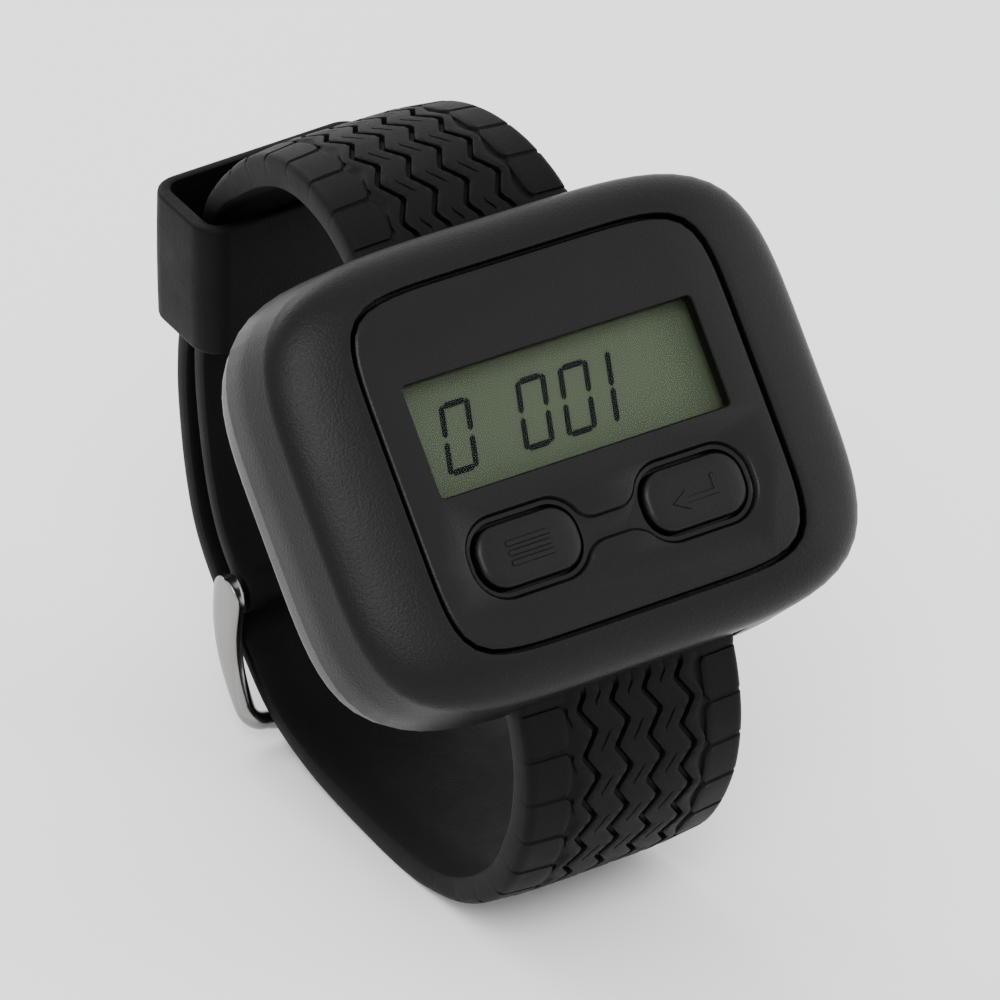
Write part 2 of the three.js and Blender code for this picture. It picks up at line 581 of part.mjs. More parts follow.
// Slots along the tail at an even pitch; the one in use is longer, to let the tongue swing.
function tailHoles(curve) {
  const whole = curve.getLength();
  const cutters = [];
  for (let i = -HOLE.under; i <= HOLE.over; i += 1) {
    const share = TONGUE_AT + (i * HOLE.pitch) / whole;
    const at = curve.getPointAt(share);
    const along = curve.getTangentAt(share);
    const length = i === 0 ? HOLE.used : HOLE.length;
    const outline = roundedRectangle(HOLE.width, length, HOLE.width / 2 - 0.01);
    const geometry = new THREE.ExtrudeGeometry(outline, { depth: 6, bevelEnabled: false, curveSegments: 3 });
    geometry.translate(0, 0, -3);
    geometry.rotateX(Math.atan2(along.y, along.x));
    cutters.push(solid(geometry.translate(0, at.x, at.y)));
  }
  return cutters;
}

function strapTailHalf() {
  const half = STRAP.lugWidth / 2;
  const curve = new THREE.SplineCurve(TAIL_HALF.map(([y, z]) => new THREE.Vector2(y, z)));
  const strip = band(TAIL_HALF, (share) => strapHalf(share, 0.1, 0.6), -half, half, 48);
  const whole = join(strip, barrelOn(LOWER_LUG, half)).intersect(taper(-8, 38));
  const table = box([-30, -60, -LOOP_DROP - 20], [30, 80, -LOOP_DROP]);
  return cut(whole, boreOn(LOWER_LUG), table, ...tailHoles(curve));
}

function springBar([y, z], length) {
  const end = length / 2 - SPRING_BAR.tipLength;
  const barrel = rod(SPRING_BAR.radius, -end, end, { axis: "x", y, z, sides: 16 });
  return join(barrel, rod(SPRING_BAR.tip, -length / 2, length / 2, { axis: "x", y, z, sides: 12 }));
}

// ---- Buckle and keeper --------------------------------------------------------------------------

const ARM = [[39.1, -36.0], [39.45, -39.4], [38.9, -42.7], [37.5, -45.5], [35.7, -47.7]];
const PRONG = [[40.2, -36.9], [41.3, -38.9], [41.55, -41.4], [40.2, -44.6], [38.0, -47.1], [36.0, -48.7]];

function buckleArm(sign) {
  const reach = [sign * BUCKLE.inside, sign * (BUCKLE.inside + BUCKLE.armThick)].sort((a, b) => a - b);
  const strip = band(ARM, (share) => THREE.MathUtils.lerp(BUCKLE.eye, BUCKLE.toe, share ** 1.5), ...reach, 14);
  const eye = rod(BUCKLE.eye, ...reach, { axis: "x", y: BUCKLE.y, z: BUCKLE.z });
  const [endY, endZ] = ARM.at(-1);
  const toe = rod(BUCKLE.toe, ...reach, { axis: "x", y: endY, z: endZ, sides: 16 });
  return join(strip, eye, toe);
}

// The bar bows away from the pin between the two arms.
function buckleBar() {
  const [y, z] = ARM.at(-1);
  const side = BUCKLE.inside + BUCKLE.armThick - BUCKLE.barRadius * 0.7;
  const bow = BAR_BOW;
  const path = new THREE.CatmullRomCurve3([
    new THREE.Vector3(-side, y, z),
    new THREE.Vector3(-side * 0.72, y - bow * 0.64, z - bow * 0.34),
    new THREE.Vector3(0, y - bow, z - bow * 0.5),
    new THREE.Vector3(side * 0.72, y - bow * 0.64, z - bow * 0.34),
    new THREE.Vector3(side, y, z),
  ]);
  const section = new THREE.Shape().absarc(0, 0, BUCKLE.barRadius, 0, 2 * Math.PI);
  return solid(new THREE.ExtrudeGeometry(section, { steps: 16, extrudePath: path, curveSegments: 5 }));
}

const buckleFrame = () => cut(join(buckleArm(1), buckleArm(-1), buckleBar()), boreOn(BUCKLE_PIN));

// An eye on the pin, then a bent prong out through the strap and down on to the bar.
function buckleTongue() {
  const path = new THREE.CatmullRomCurve3(PRONG.map(([y, z]) => new THREE.Vector3(0, y, z)));
  const section = new THREE.Shape().absarc(0, 0, TONGUE.radius, 0, 2 * Math.PI);
  const prong = solid(new THREE.ExtrudeGeometry(section, { steps: 16, extrudePath: path, curveSegments: 4 }));
  const half = TONGUE.width / 2;
  const eye = rod(TONGUE.eye, -half, half, { axis: "x", y: BUCKLE.y, z: BUCKLE.z });
  return cut(join(prong, eye), boreOn(BUCKLE_PIN));
}

// A moulded loop round both layers, in its own frame: x across, y through, z along the strap.
function keeperLoop() {
  const outside = roundedRectangle(2 * KEEPER.half, KEEPER.depth, KEEPER_RADIUS);
  const inside = roundedRectangle(2 * (KEEPER.half - KEEPER.side), KEEPER.depth - 2 * KEEPER.wall, 1.5);
  const [low, high] = [-KEEPER.height / 2, KEEPER.height / 2];
  return cut(plate(outside, low, high, 6), plate(inside, low - 1, high + 1, 5));
}

// ---- Assembly -----------------------------------------------------------------------------------

add(face, "front_shell", frontShell(), "caseBlack");
add(face, "back_shell", backShell(), "caseBlack");
add(face, "battery_hatch", batteryHatch(), "caseBlack");
corners((sx, sy, i) => add(face, `case_screw_${i + 1}`, caseScrew(sx, sy), "steel"));
add(face, "face_panel", facePanel(), "panelBlack");
add(face, "display_lens", displayLens(), "clear");
add(face, "lcd_glass", displayGlass(), "liquidCrystal");
add(face, "lcd_frame", displayFrame(), "paleMoulding");
add(face, "upper_zebra_strip", zebraStrip(1), "elastomer");
add(face, "lower_zebra_strip", zebraStrip(-1), "elastomer");
[["function", -1], ["enter", 1]].forEach(([name, sign]) => {
  const x = sign * BUTTON.x;
  add(face, `${name}_button`, button(x), "buttonBlack");
  add(face, `${name}_switch_body`, switchBody(x), "chip");
  add(face, `${name}_switch_plunger`, switchPlunger(x), "paleMoulding");
});
add(face, "circuit_board", circuitBoard(), "board");
add(face, "controller_chip", chip(CHIP.controller), "chip");
add(face, "receiver_chip", chip(CHIP.receiver), "chip");
add(face, "crystal_can", crystalCan(), "steel");
add(face, "ferrite_rod", ferriteRod(), "ferrite");
add(face, "antenna_winding", antennaWinding(), "copper");
add(face, "battery_cell", batteryCell(), "steel");
add(face, "battery_contact", batteryContact(), "brass");
add(face, "sounder_can", sounderCan(), "chip");
add(face, "motor_can", motorCan(), "steel");
add(face, "motor_weight", motorWeight(), "brass");
add(loop, "upper_spring_bar", springBar(UPPER_LUG, SPRING_BAR.length), "steel");
add(loop, "lower_spring_bar", springBar(LOWER_LUG, SPRING_BAR.length), "steel");
add(loop, "strap_buckle_half", strapBuckleHalf(), "rubber");
add(loop, "strap_tail_half", strapTailHalf(), "rubber");
const pinLength = 2 * (BUCKLE.inside + BUCKLE.armThick) - 0.2;
add(loop, "buckle_spring_bar", springBar(BUCKLE_PIN, pinLength), "steel");
add(loop, "buckle_frame", buckleFrame(), "steel");
add(loop, "buckle_tongue", buckleTongue(), "steel");
const keeper = new THREE.Group();
keeper.position.set(0, KEEPER.y, KEEPER.z);
keeper.rotation.set(KEEPER_LEAN.tilt, -KEEPER_LEAN.roll, 0);
loop.add(keeper);
add(keeper, "strap_keeper", keeperLoop(), "rubber");

export default pager;
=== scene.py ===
"""Looks of a wrist pager: finer shells, panel, buttons, digits, treaded strap, keeper and buckle,
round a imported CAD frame."""

import json
import math

import bmesh
import bpy
from bpy.props import FloatProperty, FloatVectorProperty, IntProperty, PointerProperty
from bpy.types import Operator, Panel, PropertyGroup
from mathutils import Matrix, Vector


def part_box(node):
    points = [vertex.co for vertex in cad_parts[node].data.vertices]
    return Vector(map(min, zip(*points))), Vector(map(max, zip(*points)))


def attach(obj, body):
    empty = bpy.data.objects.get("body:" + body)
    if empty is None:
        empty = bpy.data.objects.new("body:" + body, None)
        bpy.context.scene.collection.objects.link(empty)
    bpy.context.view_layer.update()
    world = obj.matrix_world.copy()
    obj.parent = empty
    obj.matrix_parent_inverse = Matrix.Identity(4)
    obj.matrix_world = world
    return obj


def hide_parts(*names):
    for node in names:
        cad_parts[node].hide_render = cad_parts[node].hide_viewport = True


bl_info = {
    "name": "Wrist Pager",
    "version": (1, 0, 0),
    "blender": (4, 5, 0),
    "location": "View3D > Sidebar > Pager",
    "description": "Builds the visible pieces and finishes of a wrist pager round its CAD frame",
    "category": "Object",
}

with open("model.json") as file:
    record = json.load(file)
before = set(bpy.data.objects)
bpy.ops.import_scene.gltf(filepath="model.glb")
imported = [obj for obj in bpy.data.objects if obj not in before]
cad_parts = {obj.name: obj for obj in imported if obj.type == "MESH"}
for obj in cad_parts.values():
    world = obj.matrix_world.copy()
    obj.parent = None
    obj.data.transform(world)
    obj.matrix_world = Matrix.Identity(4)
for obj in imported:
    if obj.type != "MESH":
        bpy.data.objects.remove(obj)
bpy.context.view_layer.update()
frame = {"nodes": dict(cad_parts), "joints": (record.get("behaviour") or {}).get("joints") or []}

MM = 0.001
SEAM = 0.02 * MM  # vertices closer than this are one
CORNER_STEPS = 24  # steps round a quarter of the case's outline
JOINTS = {joint["name"]: joint for joint in frame["joints"]}


# ---- Places taken from the frame ----------------------------------------------------------------

PANEL_OFF_LENS = 1.95 * MM  # panel's level over the middle of the display lens
DISPLAY_RISE = 3.14 * MM  # middle of the display over the middle of the panel


def box_middle(node):
    low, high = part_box(node)
    return (low + high) / 2


def face_matrix():
    """From face coordinates (x right, y up the face, z out of it) to the frame's own."""
    out = -Vector(JOINTS["function_button_press"]["axis"]).normalized()
    right = Vector((1, 0, 0))
    up = out.cross(right)
    origin = box_middle("display_lens") - up * DISPLAY_RISE + out * PANEL_OFF_LENS
    turn = Matrix((right, up, out)).transposed().to_4x4()
    return Matrix.Translation(origin) @ turn


FACE = face_matrix()


# ---- Settings -----------------------------------------------------------------------------------


def length(name, description, default):
    """A size property; default is in millimetres."""
    return FloatProperty(
        name=name, description=description, default=default * MM, min=0, unit="LENGTH", precision=5
    )


def colour(name, description, default):
    return FloatVectorProperty(
        name=name, description=description, default=default, size=3, min=0, max=1, subtype="COLOR"
    )


class PagerSizes(PropertyGroup):
    case_width: length("Case width", "Half the width of the case at its rim", 26.3)
    case_height: length("Case height", "Half the height of the case at its rim", 20.3)
    panel_width: length("Panel width", "Half the width of the face panel", 17.92)
    panel_height: length("Panel height", "Half the height of the face panel", 15.72)
    groove_depth: length("Groove depth", "How deep the tread's zigzag grooves are", 0.62)
    tread_pitch: length("Tread pitch", "Length of one zigzag of the tread", 4.0)
    digit_height: length("Digit height", "Height of a digit on the display", 6.1)
    segment_width: length("Segment width", "Width of one stroke of a digit", 0.53)
    symbol_height: length("Symbol height", "How far the raised button symbols stand", 0.16)
    corner_steps: IntProperty(
        name="Corner steps", description="Steps round a quarter outline", default=CORNER_STEPS, min=6, max=64
    )


class PagerColours(PropertyGroup):
    case: colour("Case", "Moulded plastic of the case", (0.0018, 0.0017, 0.0017))
    panel: colour("Panel", "Moulded plastic of the face panel", (0.0015, 0.0014, 0.0013))
    button: colour("Buttons", "Plastic of the two push buttons", (0.0017, 0.0016, 0.0015))
    rubber: colour("Rubber", "Rubber of the strap and keeper", (0.0011, 0.0011, 0.0012))
    display: colour("Display", "Ground of the liquid-crystal display", (0.049, 0.059, 0.037))
    digits: colour("Digits", "Dark segments of the display", (0.0025, 0.0035, 0.0035))
    steel: colour("Steel", "Polished steel of the buckle", (0.235, 0.23, 0.222))


class PagerStage(PropertyGroup):
    distance: length("Camera distance", "From the camera to the point that it looks at", 600)
    lens: FloatProperty(
        name="Focal length", description="Camera's focal length in millimetres", default=257.3, unit="CAMERA"
    )
    azimuth: FloatProperty(
        name="Azimuth",
        description="Camera's turn round the object",
        default=math.radians(-33.3),
        subtype="ANGLE",
    )
    elevation: FloatProperty(
        name="Elevation",
        description="Camera's height over the horizon",
        default=math.radians(30.3),
        subtype="ANGLE",
    )
    floor: colour("Floor", "Plain floor under the object", (0.86, 0.86, 0.85))


# ---- Modelling in edit mode ---------------------------------------------------------------------


class Ring:
    """A closed outline: half sizes, its height, and either a superellipse's power or a corner radius."""

    def __init__(self, x, y, z=0.0, power=None, radius=None, middle=(0, 0), place=None):
        self.half = (x * MM, y * MM)
        self.power = power
        self.radius = None if radius is None else radius * MM
        self.place = place or Matrix.Translation((middle[0] * MM, middle[1] * MM, z * MM))


def edit_mesh():
    mesh = bmesh.from_edit_mesh(bpy.context.object.data)
    mesh.verts.ensure_lookup_table()
    return mesh


def new_piece(name):
    """An empty mesh object, active and in edit mode."""
    bpy.ops.object.select_all(action="DESELECT")
    bpy.ops.mesh.primitive_plane_add()
    piece = bpy.context.object
    piece.name = name
    piece.data.name = name
    bpy.ops.object.mode_set(mode="EDIT")
    bpy.ops.mesh.delete(type="VERT")
    return piece


def ring_numbers(mesh):
    """The layer that says which ring a vertex belongs to, counted from 1."""
    return mesh.verts.layers.int.get("ring") or mesh.verts.layers.int.new("ring")


def add_ring(ring, steps, number):
    """Adds one outline to the mesh in edit mode and marks its vertices with its number."""
    bpy.ops.mesh.select_all(action="DESELECT")
    bpy.ops.mesh.primitive_plane_add(size=2)
    bpy.ops.transform.resize(value=(*ring.half, 1), center_override=(0, 0, 0))
    if ring.power:
        profile = 4 ** (-1 / ring.power)
        bpy.ops.mesh.bevel(
            affect="VERTICES", offset_type="PERCENT", offset_pct=49.999, segments=steps, profile=profile
        )
    else:
        bpy.ops.mesh.bevel(affect="VERTICES", offset=ring.radius, segments=steps, profile=0.5)
    bpy.ops.mesh.remove_doubles(threshold=min(SEAM, ring.half[0] * 0.01, ring.half[1] * 0.01))
    mesh = edit_mesh()
    numbers = ring_numbers(mesh)
    mesh.verts.ensure_lookup_table()
    for vertex in mesh.verts:
        if vertex.select:
            vertex[numbers] = number
            vertex.co = ring.place @ vertex.co
    bmesh.update_edit_mesh(bpy.context.object.data)
    bpy.ops.mesh.delete(type="ONLY_FACE")


def select_rings(*wanted):
    bpy.ops.mesh.select_all(action="DESELECT")
    mesh = edit_mesh()
    numbers = ring_numbers(mesh)
    for vertex in mesh.verts:
        vertex.select = vertex[numbers] in wanted
    mesh.select_flush(True)
    bmesh.update_edit_mesh(bpy.context.object.data)


def loft(name, rings, steps=None, closed=False):
    """Bridges outlines in order; the ends are capped, or joined to each other when closed.

    Neighbouring outlines need different levels, or the bridge can pair their corners crosswise.
    """
    piece = new_piece(name)
    steps = steps or bpy.context.scene.pager_sizes.corner_steps
    last = len(rings)
    for number, ring in enumerate(rings, 1):
        add_ring(ring, steps, number)
    pairs = [(number, number + 1) for number in range(1, last)]
    if closed:
        pairs.append((last, 1))
    for pair in pairs:
        select_rings(*pair)
        bpy.ops.mesh.bridge_edge_loops()
    if not closed:
        for end in (1, last):
            select_rings(end)
            bpy.ops.mesh.edge_face_add()
    face_out()
    piece.data.attributes.remove(piece.data.attributes["ring"])
    return piece


def face_out():
    """Turns the normals of the mesh in edit mode outwards and leaves edit mode."""
    bpy.ops.mesh.select_all(action="SELECT")
    bpy.ops.mesh.normals_make_consistent(inside=False)
    bpy.ops.object.mode_set(mode="OBJECT")


def make_active(piece):
    bpy.ops.object.select_all(action="DESELECT")
    piece.select_set(True)
    bpy.context.view_layer.objects.active = piece


def apply_modifier(piece, kind, **settings):
    make_active(piece)
    modifier = piece.modifiers.new(kind.title(), kind)
    for key, value in settings.items():
        setattr(modifier, key, value)
    bpy.ops.object.modifier_apply(modifier=modifier.name)


def combine(piece, tool, operation="DIFFERENCE"):
    """Carves tool out of piece, or joins it on, and removes tool."""
    apply_modifier(piece, "BOOLEAN", object=tool, operation=operation, solver="EXACT")
    bpy.data.objects.remove(tool)
    return piece


def join(pieces, name):
    make_active(pieces[0])
    for piece in pieces:
        piece.select_set(True)
    bpy.ops.object.join()
    pieces[0].name = name
    return pieces[0]


def copy_of(piece, name, place):
    """A copy with its own mesh, moved by place."""
    twin = piece.copy()
    twin.data = piece.data.copy()
    twin.name = name
    bpy.context.collection.objects.link(twin)
    twin.data.transform(place)
    return twin


def prism(name, half_x, half_y, low, high, radius=None, middle=(0, 0), steps=6):
    """A block with rounded upright edges, in millimetres."""
    radius = radius or 0.01
    rings = [Ring(half_x, half_y, z, radius=radius, middle=middle) for z in (low, high)]
    return loft(name, rings, steps)


def disc(name, levels, middle=(0, 0), sides=16):
    """A turned solid from (radius, height) levels, in millimetres; sides are per quarter turn."""
    return loft(name, [Ring(r, r, z, power=2, middle=middle) for r, z in levels], sides)


def settle(piece, body, material, place=None, smooth=35, replaces=()):
    """Puts a finished piece in the frame, shades it, gives it its finish and its body."""
    make_active(piece)
    if place is not None:
        piece.matrix_world = place
        bpy.ops.object.transform_apply(location=True, rotation=True, scale=True)
    bpy.ops.object.shade_smooth_by_angle(angle=math.radians(smooth))
    piece.data.materials.clear()
    piece.data.materials.append(material)
    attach(piece, body)
    if replaces:
        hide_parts(*replaces)
    return piece


def mesh_piece(name, points, faces):
    """A piece from points in millimetres, for shapes that edit-mode operators don't give."""
    data = bpy.data.meshes.new(name)
    data.from_pydata([Vector(p) * MM for p in points], [], faces)
    piece = bpy.data.objects.new(name, data)
    bpy.context.collection.objects.link(piece)
    make_active(piece)
    bpy.ops.object.mode_set(mode="EDIT")
    bpy.ops.mesh.select_all(action="SELECT")
    bpy.ops.mesh.remove_doubles(threshold=1e-7)
    face_out()
    return piece


# ---- Shader maths -------------------------------------------------------------------------------

MIX_FACTOR, MIX_A, MIX_B, MIX_RESULT = 0, 6, 7, 2


class Value:
    """A node's output, with arithmetic that adds Math nodes."""

    def __init__(self, finish, socket):
        self.finish = finish
        self.socket = socket

    def maths(self, operation, *others):
        return self.finish.node("ShaderNodeMath", {"operation": operation}, dict(enumerate(others)))

    def __add__(self, other):
        return self.maths("ADD", self, other)

    __radd__ = __add__

    def __mul__(self, other):
        return self.maths("MULTIPLY", self, other)

    __rmul__ = __mul__

    def __sub__(self, other):
        return self.maths("SUBTRACT", self, other)

    def __rsub__(self, other):
        return self.maths("SUBTRACT", other, self)


class Finish:
    """A material under construction."""

    def __init__(self, name, **plain):
        self.material = bpy.data.materials.new(name)
        self.material.use_nodes = True
        self.tree = self.material.node_tree
        self.shader = next(n for n in self.tree.nodes if n.type == "BSDF_PRINCIPLED")
        for key, value in plain.items():
            self.set(key.replace("_", " ").title().replace("Ior", "IOR"), value)

    def set(self, name, value):
        """Sets or links one input of the main shader."""
        self.feed(self.shader.inputs[name], value)

    def feed(self, socket, value):
        if isinstance(value, Value):
            self.tree.links.new(value.socket, socket)
        elif socket.type == "RGBA" and len(value) == 3:
            socket.default_value = (*value, 1)
        else:
            socket.default_value = value

    def node(self, kind, settings=None, sockets=None, output=0):
        made = self.tree.nodes.new(kind)
        for key, value in (settings or {}).items():
            setattr(made, key, value)
        for key, value in (sockets or {}).items():
            self.feed(made.inputs[key], value)
        return Value(self, made.outputs[output])

    def place(self, turn=(0, 0, 0), scale=(1, 1, 1)):
        """Object coordinates, turned and scaled."""
        coordinates = self.node("ShaderNodeTexCoord", output="Object")
        return self.node("ShaderNodeMapping", {}, {"Vector": coordinates, "Rotation": turn, "Scale": scale})

    def noise(self, size, detail=2.0, roughness=0.5, at=None):
        """Noise whose features are about size millimetres across."""
        sockets = {"Scale": 1 / (size * MM), "Detail": detail, "Roughness": roughness}
        sockets["Vector"] = at or self.node("ShaderNodeTexCoord", output="Object")
        return self.node("ShaderNodeTexNoise", {}, sockets)

    def spread(self, value, low, high, to_low=0.0, to_high=1.0):
        sockets = {"Value": value, "From Min": low, "From Max": high, "To Min": to_low, "To Max": to_high}
        return self.node("ShaderNodeMapRange", {"clamp": True}, sockets)

    def mix(self, factor, a, b, blend="MIX"):
        settings = {"data_type": "RGBA", "blend_type": blend}
        return self.node("ShaderNodeMix", settings, {MIX_FACTOR: factor, MIX_A: a, MIX_B: b}, MIX_RESULT)

    def bump(self, height, depth, strength=1.0):
        """Surface relief; depth is in millimetres."""
        sockets = {"Height": height, "Distance": depth * MM, "Strength": strength}
        self.set("Normal", self.node("ShaderNodeBump", {}, sockets))


def shade(base, amount):
    """A colour made lighter or darker by a factor."""
    return tuple(channel * amount for channel in base)


# ---- Finishes -----------------------------------------------------------------------------------


def moulded(name, base, rough, grain, depth, speckle_and_glint=0.5, **plain):
    """Satin plastic from a spark-eroded mould: fine grain, pale specks lightened further as painted glints,
    and a handled sheen.
    """
    finish = Finish(name, **plain)
    fine = finish.noise(grain, 3.0, 0.6)
    # Pale specks in the plastic, lightened below to seven times the base colour as painted glints off the
    # grain.
    specks_and_glints = finish.spread(finish.noise(grain * 0.7, 1.0, at=finish.place(turn=(0.4, 0.9, 0.2))), 0.62, 0.8)
    smudge = finish.noise(9.0, 3.0, 0.55)
    body = finish.mix(smudge, shade(base, 0.82), shade(base, 1.2))
    finish.set("Base Color", finish.mix(specks_and_glints * speckle_and_glint, body, shade(base, 7)))
    finish.set("Roughness", rough + (smudge - 0.5) * 0.16 + (fine - 0.5) * 0.1)
    finish.bump(fine, depth)
    return finish.material


def rubber(name, base):
    """Strap rubber: dull, softly mottled, with a little pale dust and fine pores."""
    finish = Finish(name, ior=1.18)
    pores = finish.noise(0.22, 3.0, 0.65)
    mottle = finish.noise(3.2, 4.0, 0.6)
    dust = finish.spread(finish.noise(0.9, 5.0, 0.7), 0.55, 0.78)
    body = finish.mix(mottle, shade(base, 0.75), shade(base, 1.25))
    finish.set("Base Color", finish.mix(dust * 0.45, body, shade(base, 2.4)))
    finish.set("Roughness", 0.56 + (mottle - 0.5) * 0.2 + dust * 0.08)
    finish.bump(pores + mottle * 0.6, 0.035)
    return finish.material


def polished(name, base, rough, scratches=0.5):
    """Polished metal with hairline scratches and a faint unevenness."""
    finish = Finish(name, metallic=1.0)
    hair = finish.noise(0.18, 2.0, at=finish.place(turn=(0, 0, 0.5), scale=(0.12, 1, 1)))
    cloud = finish.noise(4.0, 2.0)
    finish.set("Base Color", finish.mix(cloud, shade(base, 0.93), shade(base, 1.05)))
    finish.set("Roughness", rough + finish.spread(hair, 0.55, 0.75) * 0.1 * scratches + (cloud - 0.5) * 0.05)
    finish.bump(hair + cloud, 0.006, 0.5)
    return finish.material


def display_ground(name, base):
    """Reflective liquid crystal: grey-green, with painted light that makes one side paler, and a very fine
    dot texture.
    """
    finish = Finish(name, ior=1.2)
    across = finish.node("ShaderNodeSeparateXYZ", {}, {"Vector": finish.place()}, output="X")
    # Painted light: the ground grows paler towards +x across the display.
    side = finish.spread(across, -0.015, 0.016)
    fine = finish.noise(0.12, 1.0)
    cloud = finish.noise(7.0, 2.0)
    ground = finish.mix(side, shade(base, 0.94), shade(base, 1.1))
    ground = finish.mix(fine * 0.18, ground, shade(base, 1.35))
    finish.set("Base Color", finish.mix(cloud * 0.15, ground, shade(base, 0.8)))
    finish.set("Roughness", 0.42 + (fine - 0.5) * 0.15)
    return finish.material


def ink(name, base):
    finish = Finish(name, ior=1.15)
    streak = finish.noise(0.5, 2.0)
    finish.set("Base Color", finish.mix(streak, shade(base, 0.85), shade(base, 1.3)))
    finish.set("Roughness", 0.5 + (streak - 0.5) * 0.1)
    return finish.material


def clear_window(name):
    """Thin clear plastic: mostly see-through, with a mirror sheen and faint dust."""
    finish = Finish(name)
    dust = finish.spread(finish.noise(0.5, 4.0, 0.7), 0.62, 0.85)
    clear = finish.tree.nodes.new("ShaderNodeBsdfTransparent")
    clear.inputs["Color"].default_value = (0.96, 0.975, 0.965, 1)
    gloss = finish.tree.nodes.new("ShaderNodeBsdfGlossy")
    gloss.inputs["Roughness"].default_value = 0.06
    fresnel = finish.node("ShaderNodeFresnel", {}, {"IOR": 1.45})
    behind = finish.node("ShaderNodeNewGeometry", output="Backfacing")
    both = finish.tree.nodes.new("ShaderNodeMixShader")
    finish.feed(both.inputs[0], (fresnel * 0.15 + dust * 0.006) * (1 - behind))
    finish.tree.links.new(clear.outputs[0], both.inputs[1])
    finish.tree.links.new(gloss.outputs[0], both.inputs[2])
    output = next(n for n in finish.tree.nodes if n.type == "OUTPUT_MATERIAL")
    finish.tree.links.new(both.outputs[0], output.inputs["Surface"])
    finish.tree.nodes.remove(finish.shader)
    return finish.material


def circuit(name, base):
    """Solder-masked board: fine traces show as slightly raised, paler lines."""
    finish = Finish(name, coat_weight=0.3, coat_roughness=0.2)
    bricks = finish.node(
        "ShaderNodeTexBrick",
        {"offset": 0.37, "squash": 1.6},
        {"Vector": finish.place(turn=(math.radians(-51), 0, 0)), "Scale": 260.0, "Mortar Size": 0.05},
        output="Fac",
    )
    cloud = finish.noise(5.0, 2.0)
    ground = finish.mix(cloud, shade(base, 0.8), shade(base, 1.15))
    finish.set("Base Color", finish.mix(bricks * 0.6, ground, shade(base, 2.0)))
    finish.set("Roughness", 0.42 + (cloud - 0.5) * 0.1)
    finish.bump(bricks, 0.02)
    return finish.material


def wound(name, base):
    """Enamelled copper wire wound side by side, with painted shade in the grooves between the turns."""
    finish = Finish(name, metallic=1.0, coat_weight=0.4, coat_roughness=0.1)
    turns = finish.node(
        "ShaderNodeTexWave",
        {"wave_type": "BANDS", "bands_direction": "X"},
        {"Vector": finish.place(), "Scale": 1400.0, "Distortion": 0.4},
        output="Fac",
    )
    # Painted shade: the colour darkens to 0.35 of the copper in the bump's low grooves between turns.
    finish.set("Base Color", finish.mix(turns, shade(base, 0.35), base))
    finish.set("Roughness", 0.3 + (1 - turns) * 0.25)
    finish.bump(turns, 0.05)
    return finish.material


def finishes():
    """Every material by name, made once."""
    colours = bpy.context.scene.pager_colours
    plan = {
        "case_plastic": lambda n: moulded(n, colours.case, 0.38, 0.24, 0.045, 0.6, ior=1.24),
        "panel_plastic": lambda n: moulded(n, colours.panel, 0.32, 0.2, 0.025, 0.4, ior=1.27),
        "button_plastic": lambda n: moulded(n, colours.button, 0.34, 0.18, 0.022, 0.4, ior=1.27),
        "strap_rubber": lambda n: rubber(n, colours.rubber),
        "buckle_steel": lambda n: polished(n, colours.steel, 0.22),
        "plain_steel": lambda n: polished(n, (0.60, 0.60, 0.60), 0.24, 1.0),
        "brass": lambda n: polished(n, (0.66, 0.50, 0.22), 0.28, 1.0),
        "display_ground": lambda n: display_ground(n, colours.display),
        "display_ink": lambda n: ink(n, colours.digits),
        "clear_window": clear_window,
        "pale_moulding": lambda n: moulded(n, (0.55, 0.54, 0.50), 0.5, 0.3, 0.01, 0.1),
        "contact_elastomer": lambda n: rubber(n, (0.24, 0.06, 0.06)),
        "board_green": lambda n: circuit(n, (0.012, 0.10, 0.035)),
        "chip_resin": lambda n: moulded(n, (0.012, 0.012, 0.013), 0.6, 0.12, 0.01, 0.2),
        "ferrite": lambda n: moulded(n, (0.02, 0.02, 0.023), 0.7, 0.25, 0.02, 0.6),
        "copper_wire": lambda n: wound(n, (0.62, 0.26, 0.10)),
    }
    return {name: make(f"{name}_finish") for name, make in plan.items()}


def finish_named(name):
    return bpy.data.materials[f"{name}_finish"]


# ---- Case ---------------------------------------------------------------------------------------

CASE_POWER = 4.5  # superellipse power of the case's outline
PANEL_POWER = 7
RIM_LEVEL = -9.3
SHOULDER = (25.5, 20.0, -3.2)
BROW = (18.45, 16.25, 0.14)
CROWN = ((0, 0), (0, 0.38), (0.42, 0.86), (1, 1))  # Bezier from shoulder to brow, as (inset, rise)
CROWN_STEPS = 14
BOSSES = [(sx * 18.1, sy * 12.1) for sx, sy in ((1, 1), (-1, 1), (-1, -1), (1, -1))]


def bezier(points, share):
    rest = 1 - share
    weights = (rest**3, 3 * rest**2 * share, 3 * rest * share**2, share**3)
    return [sum(w * p[axis] for w, p in zip(weights, points)) for axis in (0, 1)]


def lerp(a, b, share):
    return a + (b - a) * share


def smoothstep(value, low, high):
    share = min(max((value - low) / (high - low), 0), 1)
    return share * share * (3 - 2 * share)


def squircles(levels, power):
    return [Ring(x, y, z, power=power) for x, y, z in levels]


def crown_rings():
    rings = []
    for i in range(CROWN_STEPS + 1):
        inset, rise = bezier(CROWN, i / CROWN_STEPS)
        x, y = (lerp(SHOULDER[axis], BROW[axis], inset) for axis in (0, 1))
        z = lerp(SHOULDER[2], BROW[2], rise)
        rings.append(Ring(x, y, z, power=lerp(CASE_POWER, PANEL_POWER, inset)))
    return rings


def lug_blocks(name, half, inner, outer, low, high, radius=None):
    """One block at each end of the case, as a single tool."""
    middle, reach = (inner + outer) / 2, (outer - inner) / 2
    blocks = [prism(name, half, reach, low, high, radius, (0, sign * middle)) for sign in (1, -1)]
    return join(blocks, name)


